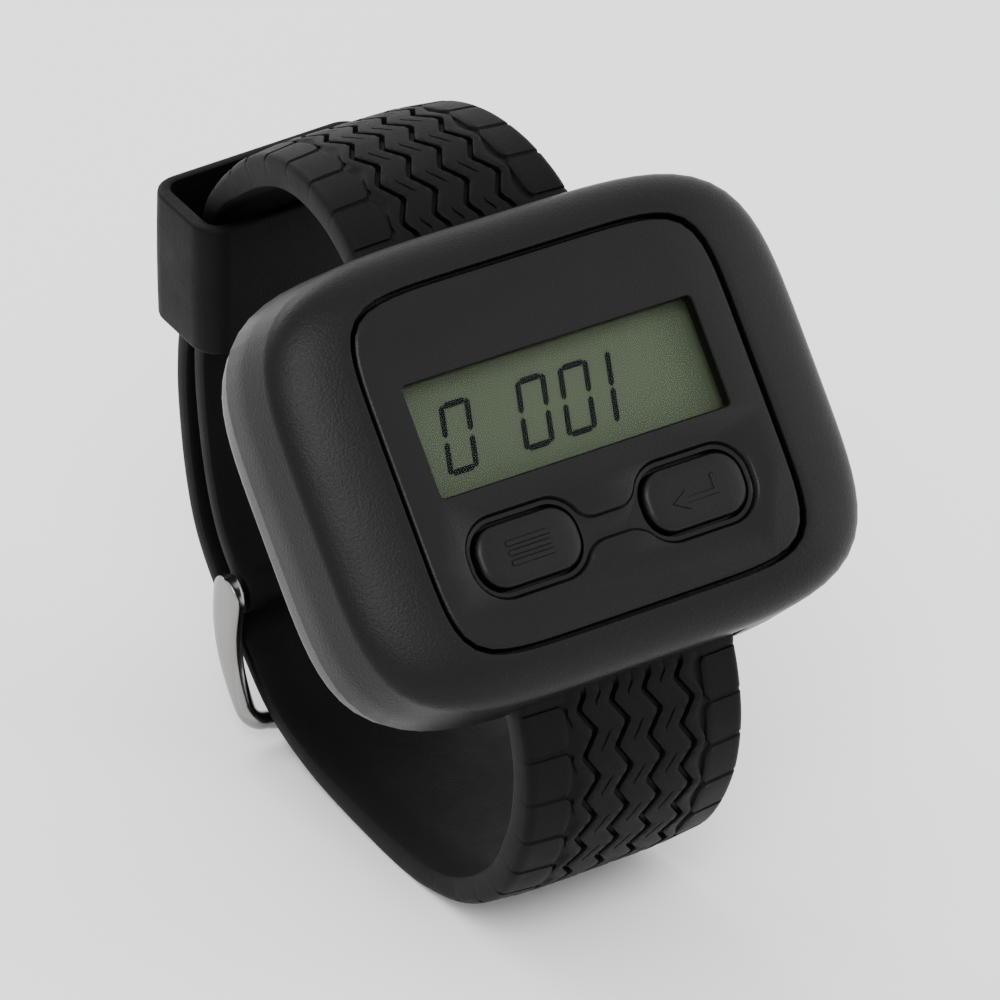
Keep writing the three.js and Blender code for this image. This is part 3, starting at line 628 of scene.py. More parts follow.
def front_shell():
    sizes = bpy.context.scene.pager_sizes
    rim_x, rim_y = sizes.case_width / MM, sizes.case_height / MM
    outside = [(rim_x - 0.3, rim_y - 0.3, RIM_LEVEL), (rim_x - 0.1, rim_y - 0.1, RIM_LEVEL + 0.08)]
    outside += [(rim_x, rim_y, RIM_LEVEL + 0.3), (rim_x - 0.35, rim_y - 0.15, -6.0)]
    lip = [(18.33, 16.13, 0.12), (18.27, 16.07, 0.05), (18.25, 16.05, -0.08), (18.25, 16.05, -1.6)]
    ledge = [(15.8, 13.6, -1.62), (15.8, 13.6, -2.88)]
    hollow = [(20.6, 15.6, -2.9), (23.6, 18.1, -4.8), (24.4, 18.4, RIM_LEVEL + 0.02)]
    rings = squircles(outside, CASE_POWER) + crown_rings() + squircles(lip + ledge, PANEL_POWER)
    shell = loft("front_shell_finished", rings + squircles(hollow, CASE_POWER), closed=True)
    combine(shell, lug_blocks("lug_wall", 12.8, 14.4, 19.2, RIM_LEVEL + 0.05, -3.5), "UNION")
    return combine(shell, lug_blocks("lug_pocket", 11.4, 15.8, 24.0, -15.0, -5.0, 0.5))


def back_shell():
    inside = [(22.3, 16.3, -12.2), (22.8, 16.9, -10.9), (22.8, 16.9, -8.72)]
    inside += [(23.8, 17.9, -8.7), (23.8, 17.9, -9.58)]
    outside = [(26.0, 20.0, -9.6), (25.72, 19.72, -11.3), (25.5, 19.5, -12.0), (25.1, 19.1, -12.65)]
    outside += [(24.6, 18.6, -13.08), (24.0, 18.0, -13.36), (23.3, 17.3, -13.5)]
    shell = loft("back_shell_finished", squircles(inside + outside, CASE_POWER))
    combine(shell, lug_blocks("lug_wall", 12.8, 14.4, 18.5, -12.6, -9.62), "UNION")
    tools = [disc("hatch_hole", [(12.9, -11.0), (12.9, -13.3), (13.3, -14.0)])]
    tools.append(disc("hatch_ring", [(14.6, -13.3), (14.75, -14.5)]))
    tools.append(lug_blocks("lug_pocket", 11.4, 15.8, 24.0, -15.0, -5.0, 0.5))
    tools.append(lug_blocks("lip_gap", 13.1, 14.1, 24.0, -9.6, -5.0))
    sinks = [disc("screw_sink", [(1.9, -12.55), (1.9, -13.3), (2.25, -13.7)], spot, 8) for spot in BOSSES]
    bores = [disc("screw_bore", [(1.15, -11.0), (1.15, -14.0)], spot, 6) for spot in BOSSES]
    tools += [join(sinks, "screw_sinks"), join(bores, "screw_bores")]
    for tool in tools:
        combine(shell, tool)
    return shell


def battery_hatch():
    edge = [(13.5, -11.9), (13.5, -12.48), (12.6, -12.5), (12.6, -13.28), (12.52, -13.42), (12.3, -13.48)]
    rim = [(10.9, -13.5), (10.7, -13.3), (10.1, -13.28), (9.9, -13.5)]
    hatch = disc("battery_hatch_finished", edge + rim, sides=20)
    combine(hatch, prism("coin_slot", 5.5, 0.8, -14.5, -12.8, 0.75))
    dots = [disc("grip_dot", [(0.5, -13.2), (0.42, -14.0)], (8.6 * s, 0), 6) for s in (1, -1)]
    return combine(hatch, join(dots, "grip_dots"))


def case_screw():
    head = [(0.8, -6.6), (0.8, -12.58), (1.65, -12.6), (1.65, -13.15), (1.55, -13.3), (1.3, -13.4)]
    screw = disc("case_screw_1_finished", head, BOSSES[0], 8)
    for half_x, half_y in ((1.0, 0.22), (0.22, 1.0)):
        combine(screw, prism("slot", half_x, half_y, -14.4, -12.95, 0.1, BOSSES[0], 2))
    return screw


class PAGER_OT_case(Operator):
    """Model the front shell: a pillow bezel with a panel seat and two lug pockets"""

    bl_idname = "pager.case"
    bl_label = "Front Shell"

    def execute(self, context):
        shell = front_shell()
        settle(shell, "pager", finish_named("case_plastic"), FACE, replaces=["front_shell"])
        return {"FINISHED"}


class PAGER_OT_back(Operator):
    """Model the back shell with its battery hatch and four screws"""

    bl_idname = "pager.back"
    bl_label = "Back Shell"

    def execute(self, context):
        plastic, steel = finish_named("case_plastic"), finish_named("plain_steel")
        settle(back_shell(), "pager", plastic, FACE, replaces=["back_shell"])
        settle(battery_hatch(), "battery_hatch", plastic, FACE, replaces=["battery_hatch"])
        first = case_screw()
        screws = [first]
        for i, (x, y) in enumerate(BOSSES[1:], 2):
            step = Vector((x - BOSSES[0][0], y - BOSSES[0][1], 0)) * MM
            screws.append(copy_of(first, f"case_screw_{i}_finished", Matrix.Translation(step)))
        for i, screw in enumerate(screws, 1):
            settle(screw, "pager", steel, FACE, replaces=[f"case_screw_{i}"])
        return {"FINISHED"}


# ---- Panel and buttons --------------------------------------------------------------------------

BUTTON = {"x": 8.4, "y": -7.9, "half_x": 5.0, "half_y": 2.775, "radius": 2.4}
BUTTON_GAP = 0.32
WAIST = {"y": -8.15, "half": 0.975, "upper": 2.1, "lower": 2.7}  # strip between the buttons and its fillets
WINDOW = {"half_x": 14.55, "half_y": 4.95, "radius": 0.4, "middle": (0, 3.14)}
MOAT_MARGIN = 0.75  # where the waist and its fillets have their own sizes
MOAT = [(0.3, 1.5), (0.02, 1.16), (-0.05, 1.0), (-0.18, 0.88), (-0.38, 0.77), (-0.52, 0.67), (-0.6, 0.45)]


def arc(centre, radius, start, end, count):
    """Points on an arc in degrees, both ends included."""
    turns = [math.radians(lerp(start, end, i / count)) for i in range(count + 1)]
    return [(centre[0] + radius * math.cos(t), centre[1] + radius * math.sin(t)) for t in turns]


def moat_outline(margin):
    """Outline of the sunken band round both buttons: two lobes joined by a filleted waist."""
    grown = margin - MOAT_MARGIN
    radius = BUTTON["radius"] + margin
    inner_x = BUTTON["x"] - BUTTON["half_x"] + BUTTON["radius"]
    outer_x = BUTTON["x"] + BUTTON["half_x"] - BUTTON["radius"]
    reach = BUTTON["half_y"] - BUTTON["radius"]
    half = []
    for sign, fillet in ((1, WAIST["upper"] - grown), (-1, WAIST["lower"] - grown)):
        lobe_y = BUTTON["y"] + sign * reach
        edge_y = WAIST["y"] + sign * (WAIST["half"] + grown)
        fillet_y = edge_y + sign * fillet
        rise = fillet_y - lobe_y
        fillet_x = inner_x - math.sqrt((radius + fillet) ** 2 - rise**2)
        lean = math.degrees(math.atan2(abs(rise), inner_x - fillet_x))
        curve = arc((fillet_x, fillet_y), fillet, -90 * sign, -lean * sign, 10)
        curve += arc((inner_x, lobe_y), radius, (180 - lean) * sign, 90 * sign, 12)[1:]
        curve += arc((outer_x, lobe_y), radius, 90 * sign, 0, 12)
        half.append(curve)
    right = half[0] + half[1][::-1]
    left = [(-x, y) for x, y in reversed(right)]
    return right + left


def moat():
    """Tool with soft sloping sides that sinks the band into the panel."""
    levels = [[(x, y, z) for x, y in moat_outline(margin)] for z, margin in MOAT]
    return tube_of("moat", levels)


def tube_of(name, rings, closed=False):
    """A piece from equal rings of points, each joined to the next, with flat ends unless closed."""
    count = len(rings[0])
    last = len(rings) if closed else len(rings) - 1
    faces = []
    for level in range(last):
        low, high = level * count, (level + 1) % len(rings) * count
        faces += [(low + i, low + (i + 1) % count, high + (i + 1) % count, high + i) for i in range(count)]
    if not closed:
        faces.append(tuple(reversed(range(count))))
        faces.append(tuple((len(rings) - 1) * count + i for i in range(count)))
    return mesh_piece(name, [point for ring in rings for point in ring], faces)


def button_ring(side, margin, z):
    half_x, half_y, radius = (BUTTON[key] + margin for key in ("half_x", "half_y", "radius"))
    return Ring(half_x, half_y, z, radius=radius, middle=(side * BUTTON["x"], BUTTON["y"]))


def face_panel():
    sizes = bpy.context.scene.pager_sizes
    x, y = sizes.panel_width / MM, sizes.panel_height / MM
    rounding = [(0, -1.3), (0, -0.3), (0.06, -0.13), (0.18, -0.03), (0.36, 0)]
    outlines = squircles([(x - inset, y - inset, z) for inset, z in rounding], PANEL_POWER)
    panel = loft("face_panel_finished", outlines)
    combine(panel, moat())
    flare = [(0, -2), (0, -0.22), (0.05, -0.09), (0.14, 0), (0.5, 0.3)]
    half_x, half_y, radius, middle = (WINDOW[key] for key in ("half_x", "half_y", "radius", "middle"))
    window = [Ring(half_x + m, half_y + m, z, radius=radius + m, middle=middle) for m, z in flare]
    combine(panel, loft("window", window, 5))
    for side in (-1, 1):
        combine(panel, loft("button_hole", [button_ring(side, BUTTON_GAP, z) for z in (-2, 1)], 10))
    return panel


def stroke(side, x, y, half_x, half_y):
    """A raised stroke of a button symbol, at its place on the button."""
    top = 0.1 + bpy.context.scene.pager_sizes.symbol_height / MM
    middle = (side * BUTTON["x"] + x, BUTTON["y"] + y)
    levels = [(0.07, -0.3), (0.07, 0.1), (0.02, top - 0.05), (-0.05, top)]
    rings = [Ring(half_x + m, half_y + m, z, radius=0.1 + m, middle=middle) for m, z in levels]
    return loft("stroke", rings, 3)


def arrow_head(side, x, y, size):
    """A raised triangle that points left."""
    top = 0.1 + bpy.context.scene.pager_sizes.symbol_height / MM
    middle_x, middle_y = side * BUTTON["x"] + x, BUTTON["y"] + y
    corners = [(-size, 0), (size * 0.55, -size * 0.85), (size * 0.55, size * 0.85)]
    rings = []
    for share, z in ((1.08, -0.3), (1.08, 0.1), (1.0, top - 0.05), (0.86, top)):
        rings.append([(middle_x + cx * share, middle_y + cy * share, z) for cx, cy in corners])
    return tube_of("arrow_head", rings)


def list_symbol(side):
    return [stroke(side, 0, rise, 2.1, 0.2) for rise in (0.85, 0, -0.85)]


def return_symbol(side):
    marks = [stroke(side, 0.35, -0.45, 1.75, 0.2), stroke(side, 1.9, 0.2, 0.2, 0.85)]
    return marks + [arrow_head(side, -1.65, -0.45, 0.95)]


def push_button(name, side, symbol):
    levels = [(0.55, -2.45), (0.55, -1.87), (0, -1.85), (0, -0.5), (-0.04, -0.3), (-0.14, -0.14)]
    levels += [(-0.3, -0.03), (-0.55, 0.03), (-1.1, 0.07), (-1.9, 0.1)]
    button = loft(f"{name}_finished", [button_ring(side, margin, z) for margin, z in levels], 10)
    combine(button, disc("stem", [(1.0, -4.2), (1.0, -2.2)], (side * BUTTON["x"], BUTTON["y"]), 5), "UNION")
    for mark in symbol(side):
        combine(button, mark, "UNION")
    return button


class PAGER_OT_panel(Operator):
    """Model the face panel: display window, button holes and the sunken band round them"""

    bl_idname = "pager.face_panel"
    bl_label = "Face Panel"

    def execute(self, context):
        panel = face_panel()
        settle(panel, "pager", finish_named("panel_plastic"), FACE, 32, ["face_panel"])
        return {"FINISHED"}


class PAGER_OT_buttons(Operator):
    """Model the two push buttons with generic raised symbols"""

    bl_idname = "pager.buttons"
    bl_label = "Push Buttons"

    def execute(self, context):
        for name, side, symbol in (("function_button", -1, list_symbol), ("enter_button", 1, return_symbol)):
            button = push_button(name, side, symbol)
            settle(button, name, finish_named("button_plastic"), FACE, 32, [name])
        return {"FINISHED"}


# ---- Display ------------------------------------------------------------------------------------

GLASS_LEVEL = -2.6  # top of the display glass
DIGIT_LEAN = 0.23  # sideways step of a digit's top for each unit of height
DIGIT_WIDTH = 3.05
INK_LEVELS = (GLASS_LEVEL + 0.005, GLASS_LEVEL + 0.03)  # underside and top of a digit's stroke
LIMB_GAP = 0.12  # between an upright stroke and the digit's mid height
NOUGHT_TRIM = {"upright": 0.24, "across": 0.3}  # shortens a nought's strokes, so its corners stay open
DIGIT_DROP = 0.2 * MM  # middle of the digits under the middle of the display
ZEROS = (-9.71, -2.1, 2.2)  # middle of each nought, from the middle of the display
ONE = 5.75


def digit_strokes():
    """Places of the strokes as (x, y, length, upright)."""
    sizes = bpy.context.scene.pager_sizes
    width = sizes.segment_width / MM
    rise = sizes.digit_height / MM
    side = (DIGIT_WIDTH - width) / 2
    limb = rise / 2 - LIMB_GAP
    reach = DIGIT_WIDTH - width - NOUGHT_TRIM["across"]
    upright = limb - NOUGHT_TRIM["upright"]
    quarters = [(across, up) for across in (1, -1) for up in (1, -1)]
    strokes = []
    for middle in ZEROS:
        strokes += [(middle, sign * (rise - width) / 2, reach, False) for sign in (1, -1)]
        strokes += [(middle + across * side, up * rise / 4, upright, True) for across, up in quarters]
    return strokes + [(ONE, up * rise / 4, limb, True) for up in (1, -1)]


def display_digits():
    """Thin dark plates on the glass: three noughts and a one, leaning to the right."""
    width = bpy.context.scene.pager_sizes.segment_width / MM / 2
    plates = []
    for x, y, reach, upright in digit_strokes():
        rings = [Ring(reach / 2, width, z, radius=width * 0.9) for z in INK_LEVELS]
        plate = loft("digit_stroke", rings, 1)
        turn = Matrix.Rotation(math.pi / 2, 4, "Z") if upright else Matrix.Identity(4)
        lean = Matrix.Identity(4)
        lean[0][1] = DIGIT_LEAN
        middle = Matrix.Translation((x * MM, DISPLAY_RISE - DIGIT_DROP, 0))
        plate.data.transform(middle @ lean @ Matrix.Translation((0, y * MM, 0)) @ turn)
        plates.append(plate)
    return join(plates, "display_digits")


class PAGER_OT_display(Operator):
    """Model the display's digits"""

    bl_idname = "pager.display"
    bl_label = "Display"

    def execute(self, context):
        settle(display_digits(), "pager", finish_named("display_ink"), FACE)
        return {"FINISHED"}


# ---- Strap --------------------------------------------------------------------------------------

# Centrelines of the strap in the side view (y, z), in millimetres, from the middle of the display.
LOOP_SHIFT = Vector((0, -19.3, 49.9))
BUCKLE_PIN = (39.1, -36.0)
BUCKLE_ROUTE = [
    (15.24, 6.91), (18.0, 9.2), (22.4, 10.9), (27.8, 11.2), (33.2, 9.6), (38.4, 6.2), (43.0, 1.5),
    (44.6, -5.6), (45.6, -12.5), (45.65, -19.0), (44.5, -26.3), (42.5, -31.7), BUCKLE_PIN,
]
TAIL_ROUTE = [
    (-7.54, -21.23), (-9.1, -25.6), (-9.7, -30.5), (-8.6, -36.2), (-5.1, -42.2), (1.7, -46.9),
    (9.4, -48.65), (18.7, -48.7), (27.8, -47.8), (34.9, -45.3), (41.0, -39.8), (45.7, -34.2),
    (47.8, -28.5), (48.8, -21.0), (48.7, -16.0), (48.0, -11.5), (47.35, -3.4),
]
LUG_THICK, TAIL_THICK = 3.3, 2.05
LUG_HALF, TAIL_HALF = 11.0, 9.0
BARREL = 1.9  # radius of the strap's ends round the spring bars
ROUTE_SAMPLES = 40  # between two route points


class Route:
    """A Catmull-Rom curve through points in a side view, measured by length in millimetres."""

    def __init__(self, points):
        ends = [points[0], *points, points[-1]]
        self.points = []
        for i in range(len(points) - 1):
            knots = [Vector(p) for p in ends[i : i + 4]]
            start, end = (knots[2] - knots[0]) / 2, (knots[3] - knots[1]) / 2
            for step in range(ROUTE_SAMPLES):
                t = step / ROUTE_SAMPLES
                cubic = (2 * knots[1] - 2 * knots[2] + start + end) * t**3
                square = (3 * knots[2] - 3 * knots[1] - 2 * start - end) * t**2
                self.points.append(cubic + square + start * t + knots[1])
        self.points.append(Vector(points[-1]))
        self.marks = [0.0]
        for a, b in zip(self.points, self.points[1:]):
            self.marks.append(self.marks[-1] + (b - a).length)
        self.length = self.marks[-1]

    def at(self, travelled):
        """(point, direction) there; before and after the ends the route runs straight on."""
        low, high = 0, len(self.marks) - 2
        while low < high:
            middle = (low + high + 1) // 2
            low, high = (middle, high) if self.marks[middle] <= travelled else (low, middle - 1)
        a, b = self.points[low], self.points[low + 1]
        along = (b - a).normalized()
        return a + along * (travelled - self.marks[low]), along


def tread_columns():
    """Columns across the outer face as (place, kind), from the middle to one edge."""
    columns = [(0, "sipe"), (0.14, "rib"), (0.7, "rib")]
    for groove in (1.65, 4.95):
        columns += [(groove - 0.42, "rib"), (groove - 0.31, "lip"), (groove - 0.22, "floor")]
        columns += [(groove + 0.22, "floor"), (groove + 0.31, "lip"), (groove + 0.42, "rib")]
        if groove < 2:
            columns += [(2.7, "rib"), (3.16, "rib"), (3.3, "sipe"), (3.44, "rib"), (3.95, "rib")]
    columns += [(5.8, "rib"), (6.2, "rib"), (6.34, "lip"), (6.5, "channel"), (6.8, "channel")]
    columns += [(6.95, "shoulder_lip"), (7.12, "block"), (7.6, "block"), (8.4, "block"), (9.2, "block")]
    return columns + [(10.0, "block"), (10.45, "block"), (10.8, "edge"), (11.0, "side")]


ROW_STEPS = (0, 0.3, 0.4, 0.55, 0.85, 1.25, 1.7, 2.15, 2.6, 3.05, 3.45, 3.75, 3.9)  # along one pitch of 4 mm
INNER_FACE = [(11.0, 0.5), (10.85, 0.15), (10.5, 0), (6, 0)]  # half of the smooth side, as (place, lift)
ZIGZAG = 0.74  # sideways reach of the grooves
ZIGZAG_LEAD = 0.2  # share of a pitch by which a groove's turn leads a block's edge


def zigzag(phase):
    turn = 2 * math.pi * (phase + ZIGZAG_LEAD)
    return ZIGZAG * 0.81 * (math.cos(turn) + math.cos(3 * turn) / 9)


class Tread:
    """The tyre-like pattern along part of a strap half."""

    def __init__(self, start, end):
        sizes = bpy.context.scene.pager_sizes
        self.start, self.end = start, end
        self.pitch = sizes.tread_pitch / MM
        self.depth = sizes.groove_depth / MM

    def rows(self):
        count = int((self.end - self.start) / self.pitch)
        share = self.pitch / 4
        return [self.start + (i * 4 + step) * share for i in range(count) for step in ROW_STEPS]

    def fade(self, s):
        begins = smoothstep(s, self.start - 0.5, self.start + 0.5)
        return begins * (1 - smoothstep(s, self.end - 5, self.end - 0.4))

    def shift(self, place, kind, s):
        """Sideways step of a column."""
        phase = ((s - self.start) / self.pitch) % 1
        side = math.copysign(1, place) if place else 0
        if kind in ("sipe", "rib", "lip", "floor"):
            return zigzag(phase) * self.fade(s) * (0.6 if abs(place) > 6.1 else 1)
        if kind in ("channel", "shoulder_lip") or abs(place) < 7.2:
            edge = min(abs(phase - 0.04), abs(phase - 1.04)) * self.pitch
            return side * 0.75 * max(0, 1 - edge / 1.0) ** 2 * self.fade(s)
        return 0

    def depth_at(self, kind, s):
        phase = ((s - self.start) / self.pitch) % 1
        gap = phase < 0.085
        depth = {"lip": 0.07, "floor": self.depth, "channel": 0.3, "shoulder_lip": 0.06}.get(kind, 0)
        if kind == "sipe":
            depth = 0.24 if 0.1 < (phase + ZIGZAG_LEAD) % 1 < 0.42 else 0
        if kind in ("block", "shoulder_lip", "edge") and gap:
            depth = 0.16
        return depth * self.fade(s)


def strap_mesh(name, route, outward, thickness, half_width, tread, rounded_end):
    """One strap half as rings of points: treaded outside, smooth inside, with a barrel at the lug."""
    right = tread_columns()
    columns = [(-place, kind) for place, kind in reversed(right[1:])] + right
    end = route.length
    rows = [-BARREL * math.cos(math.pi / 2 * i / 7) for i in range(7)] + [0, 0.6, 1.1, 1.6]
    rows += tread.rows()
    rest = int((end - rows[-1]) / 0.75)
    rows += [lerp(rows[-1], end, (i + 1) / rest) for i in range(rest)]
    if rounded_end:
        rows += [end + BARREL * math.sin(math.pi / 2 * i / 7) for i in range(1, 8)]
    rings = []
    for s in rows:
        middle, along = route.at(s)
        side = Vector((-along.y, along.x)) * outward
        half_thick = thickness(min(max(s / end, 0), 1)) / 2
        over = max(-s, s - end if rounded_end else 0, 0)
        near = min(abs(s), abs(s - end)) if rounded_end else abs(s)
        if over > 0:
            half_thick = max(math.sqrt(max(BARREL**2 - over**2, 0)), 0.12)
        elif near < BARREL:
            half_thick = max(half_thick, math.sqrt(BARREL**2 - near**2))
        width = half_width(middle.x) / LUG_HALF
        crown_size = lerp(0.12, 0.3, tread.fade(s) if over == 0 else 0) * min(half_thick / 1.2, 1)
        ring = []
        for place, kind in columns:
            crown = crown_size * smoothstep(abs(place), 5.0, 12.5) * 1.5
            edge = {"edge": 0.18, "side": 0.62}.get(kind, 0) * min(half_thick, 1)
            height = half_thick - crown - edge - tread.depth_at(kind, s)
            across = (place + tread.shift(place, kind, s)) * width
            ring.append((across, middle + side * height))
        inner = [*INNER_FACE, (0, 0), *((-place, lift) for place, lift in reversed(INNER_FACE))]
        for place, lift in inner:
            ring.append((place * width, middle - side * (half_thick - lift * min(half_thick, 1))))
        points = [Vector((across, place.x, place.y)) + LOOP_SHIFT for across, place in ring]
        rings.append([(p.x, p.y, max(p.z, 0.0)) for p in points])
    return tube_of(name, rings)


def strap_slots(route, spots):
    """Slots through the strap at lengths along its route, as one tool."""
    slots = []
    for travelled, half in spots:
        middle, along = route.at(travelled)
        slot = prism("slot", 1.0, half, -3, 3, 0.98, steps=6)
        turn = Matrix.Rotation(math.atan2(along.y, along.x), 4, "X")
        spot = (Vector((0, middle.x, middle.y)) + LOOP_SHIFT) * MM
        slot.data.transform(Matrix.Translation(spot) @ turn)
        slots.append(slot)
    return join(slots, "slots")


HOLE_PITCH = 6.5
USED_HOLE = 0.652  # share of the tail's length at which the tongue passes through


def tail_half():
    route = Route(TAIL_ROUTE)
    tread = Tread(2.2, 38.5)

    def thickness(share):
        return lerp(LUG_THICK, TAIL_THICK, smoothstep(share, 0.1, 0.6))

    def half_width(y):
        return lerp(LUG_HALF, TAIL_HALF, min(max((y + 8) / 46, 0), 1))

    strap = strap_mesh("strap_tail_finished", route, -1, thickness, half_width, tread, False)
    spots = [(route.length * USED_HOLE + i * HOLE_PITCH, 2.4 if i == 0 else 1.6) for i in range(-2, 5)]
    return combine(strap, strap_slots(route, spots))


def buckle_half():
    route = Route(BUCKLE_ROUTE)
    tread = Tread(2.2, 34.5)

    def thickness(share):
        return lerp(LUG_THICK, TAIL_THICK, smoothstep(share, 0.3, 0.5))

    def half_width(y):
        return lerp(LUG_HALF, TAIL_HALF, min(max((y - 15) / 25, 0), 1))

    strap = strap_mesh("strap_buckle_half_finished", route, 1, thickness, half_width, tread, True)
    pin = (Vector((0, *BUCKLE_PIN)) + LOOP_SHIFT) * MM
    fork = prism("fork", 1.7, 2.8, -2.8, 2.8, 0.3)
    fork.data.transform(Matrix.Translation(pin))
    return combine(strap, fork)


class PAGER_OT_strap(Operator):
    """Model both strap halves with their tread, holes and fork"""

    bl_idname = "pager.strap"
    bl_label = "Strap Halves"

    def execute(self, context):
        for piece, node in ((buckle_half(), "strap_buckle_half"), (tail_half(), "strap_tail_half")):
            settle(piece, "pager", finish_named("strap_rubber"), smooth=38, replaces=[node])
        return {"FINISHED"}


KEEPER = {"half_x": 10.9, "half_y": 5.1, "half_z": 6.6, "radius": 2.6, "side": 1.3, "wall": 1.0}
KEEPER_TILT, KEEPER_ROLL = math.radians(5), math.radians(-2)


def keeper_loop():
    x, y, z, radius = (KEEPER[key] for key in ("half_x", "half_y", "half_z", "radius"))
    rounding = [(0.42, 0), (0.2, 0.05), (0.06, 0.18), (0, 0.42)]
    outside = [(inset, -z + rise) for inset, rise in rounding] + [(-0.06, -3), (-0.08, 0), (-0.06, 3)]
    outside += [(inset, z - rise) for inset, rise in reversed(rounding)]
    rings = [Ring(x - inset, y - inset, level, radius=radius - inset) for inset, level in outside]
    in_x, in_y = x - KEEPER["side"], y - KEEPER["wall"]
    mouth = [(0.22, 0.02), (0.06, 0.1), (0, 0.35)]
    inside = [(flare, z - deep) for flare, deep in mouth]
    inside += [(flare, deep - z) for flare, deep in reversed(mouth)]
    rings += [Ring(in_x + flare, in_y + flare, level, radius=1.5 + flare) for flare, level in inside]
    return loft("strap_keeper_finished", rings, 8, closed=True)


class PAGER_OT_keeper(Operator):
    """Model the rubber keeper that holds both layers of the strap"""

    bl_idname = "pager.keeper"
    bl_label = "Keeper"

    def execute(self, context):
        lean = Matrix.Rotation(KEEPER_TILT, 4, "X") @ Matrix.Rotation(KEEPER_ROLL, 4, "Y")
        place = Matrix.Translation(box_middle("strap_keeper")) @ lean
        rubber = finish_named("strap_rubber")
        settle(keeper_loop(), "strap_keeper", rubber, place, 40, ["strap_keeper"])
        return {"FINISHED"}


# ---- Buckle -------------------------------------------------------------------------------------

ARM_ROUTE = [(39.1, -36.0), (39.45, -39.4), (38.9, -42.7), (37.5, -45.5), (35.7, -47.7)]
ARM_POWER = 5  # superellipse power of an arm's section, and the rounder one at its toe
TOE_POWER = 2.2
ARM_X = 10.2  # middle of an arm
ARM_EYE, ARM_TOE, ARM_HALF = 2.1, 1.0, 0.6
BAR_HALF = 0.86
BAR_BOW = 1.7
BAR_LEAN = Vector((0, -1, -0.5))  # the way in which the bar bows
TOE_TURN = 1.5  # radius of the bend between arm and bar
EYE_STEPS, ARM_STEPS, TURN_STEPS, BAR_STEPS = 7, 14, 6, 16


def frame_stations():
    """The values of station_ring for each section, from one eye to the bar's middle."""
    route = Route(ARM_ROUTE)
    stations = []
    for i in range(EYE_STEPS):
        back = ARM_EYE * math.cos(math.pi / 2 * (i + 0.35) / EYE_STEPS)
        point, along = route.at(-back)
        half = math.sqrt(ARM_EYE**2 - back**2)
        way = Vector((0, *along))
        stations.append((Vector((-ARM_X, *point)), way, way.copy(), half, ARM_HALF, ARM_POWER))
    reach = route.length - TOE_TURN
    for i in range(ARM_STEPS + 1):
        share = i / ARM_STEPS
        point, along = route.at(reach * share)
        half = lerp(ARM_EYE, ARM_TOE, share**1.35)
        power = lerp(ARM_POWER, TOE_POWER, smoothstep(share, 0.5, 1))
        across = lerp(ARM_HALF, BAR_HALF, smoothstep(share, 0.6, 1))
        way = Vector((0, *along))
        stations.append((Vector((-ARM_X, *point)), way, way.copy(), half, across, power))
    start, along = route.at(reach)
    arm = Vector((0, *along))
    centre = Vector((-ARM_X + TOE_TURN, *start))
    for i in range(1, TURN_STEPS + 1):
        turn = math.pi / 2 * i / TURN_STEPS
        point = centre - Vector((TOE_TURN * math.cos(turn), 0, 0)) + arm * TOE_TURN * math.sin(turn)
        way = Vector((math.sin(turn), 0, 0)) + arm * math.cos(turn)
        half = lerp(ARM_TOE, BAR_HALF, i / TURN_STEPS)
        stations.append((point, way, arm, half, BAR_HALF, 2.1))
    corner = centre + arm * TOE_TURN
    for i in range(1, BAR_STEPS + 1):
        share = i / BAR_STEPS
        bow = BAR_LEAN * BAR_BOW * math.sin(math.pi / 2 * share)
        point = Vector((lerp(corner.x, 0, share), corner.y, corner.z)) + bow
        slope = BAR_LEAN * BAR_BOW * math.pi / 2 * math.cos(math.pi / 2 * share) / -corner.x
        stations.append((point, (Vector((1, 0, 0)) + slope).normalized(), arm, BAR_HALF, BAR_HALF, 2))
    return stations


def station_ring(middle, way, arm, half, across, power):
    """A ring square to way, with its first axis in the plane of the arm's face."""
    first = Vector((1, 0, 0)).cross(arm).normalized()
    first = (first - way * first.dot(way)).normalized()
    turn = Matrix((first, way.cross(first), way)).transposed().to_4x4()
    place = Matrix.Translation((middle + LOOP_SHIFT) * MM) @ turn
    return Ring(half, across, power=power, place=place)


def buckle_frame():
    left = frame_stations()
    right = []
    for middle, way, arm, half, across, power in reversed(left[:-1]):
        flipped = Vector((-middle.x, middle.y, middle.z))
        right.append((flipped, Vector((way.x, -way.y, -way.z)), arm, half, across, power))
    return loft("buckle_frame_finished", [station_ring(*station) for station in left + right], 6)


TONGUE_ROUTE = [(40.2, -36.9), (41.3, -38.9), (41.55, -41.4), (40.2, -44.6), (38.0, -47.1), (36.0, -48.7)]
TONGUE_STEPS = 22


def pin_place(node):
    """Turns a piece modelled along z to lie along x on a pin."""
    turn = Matrix.Rotation(math.pi / 2, 4, "Y")
    return Matrix.Translation(box_middle(node)) @ turn


def buckle_tongue():
    route = Route(TONGUE_ROUTE)
    rings = []
    for i in range(TONGUE_STEPS + 1):
        share = i / TONGUE_STEPS
        point, along = route.at(route.length * share)
        slim = math.sqrt(max(1 - max(share * route.length - route.length + 0.5, 0) ** 2 / 0.3, 0.05))
        way = Vector((0, *along))
        rings.append(station_ring(Vector((0, *point)), way, way, 0.55 * slim, 0.7 * slim, 2.4))
    prong = loft("buckle_tongue_finished", rings, 5)
    edge = [(1.65, -1.2), (1.75, -1.1), (1.75, 1.1), (1.65, 1.2)]
    edge += [(1.1, 1.18), (1.05, 1.1), (1.05, -1.1), (1.1, -1.18)]
    eye = loft("eye", [Ring(r, r, z, power=2) for r, z in edge], 8, closed=True)
    eye.data.transform(pin_place("buckle_spring_bar"))
    return combine(prong, eye, "UNION")


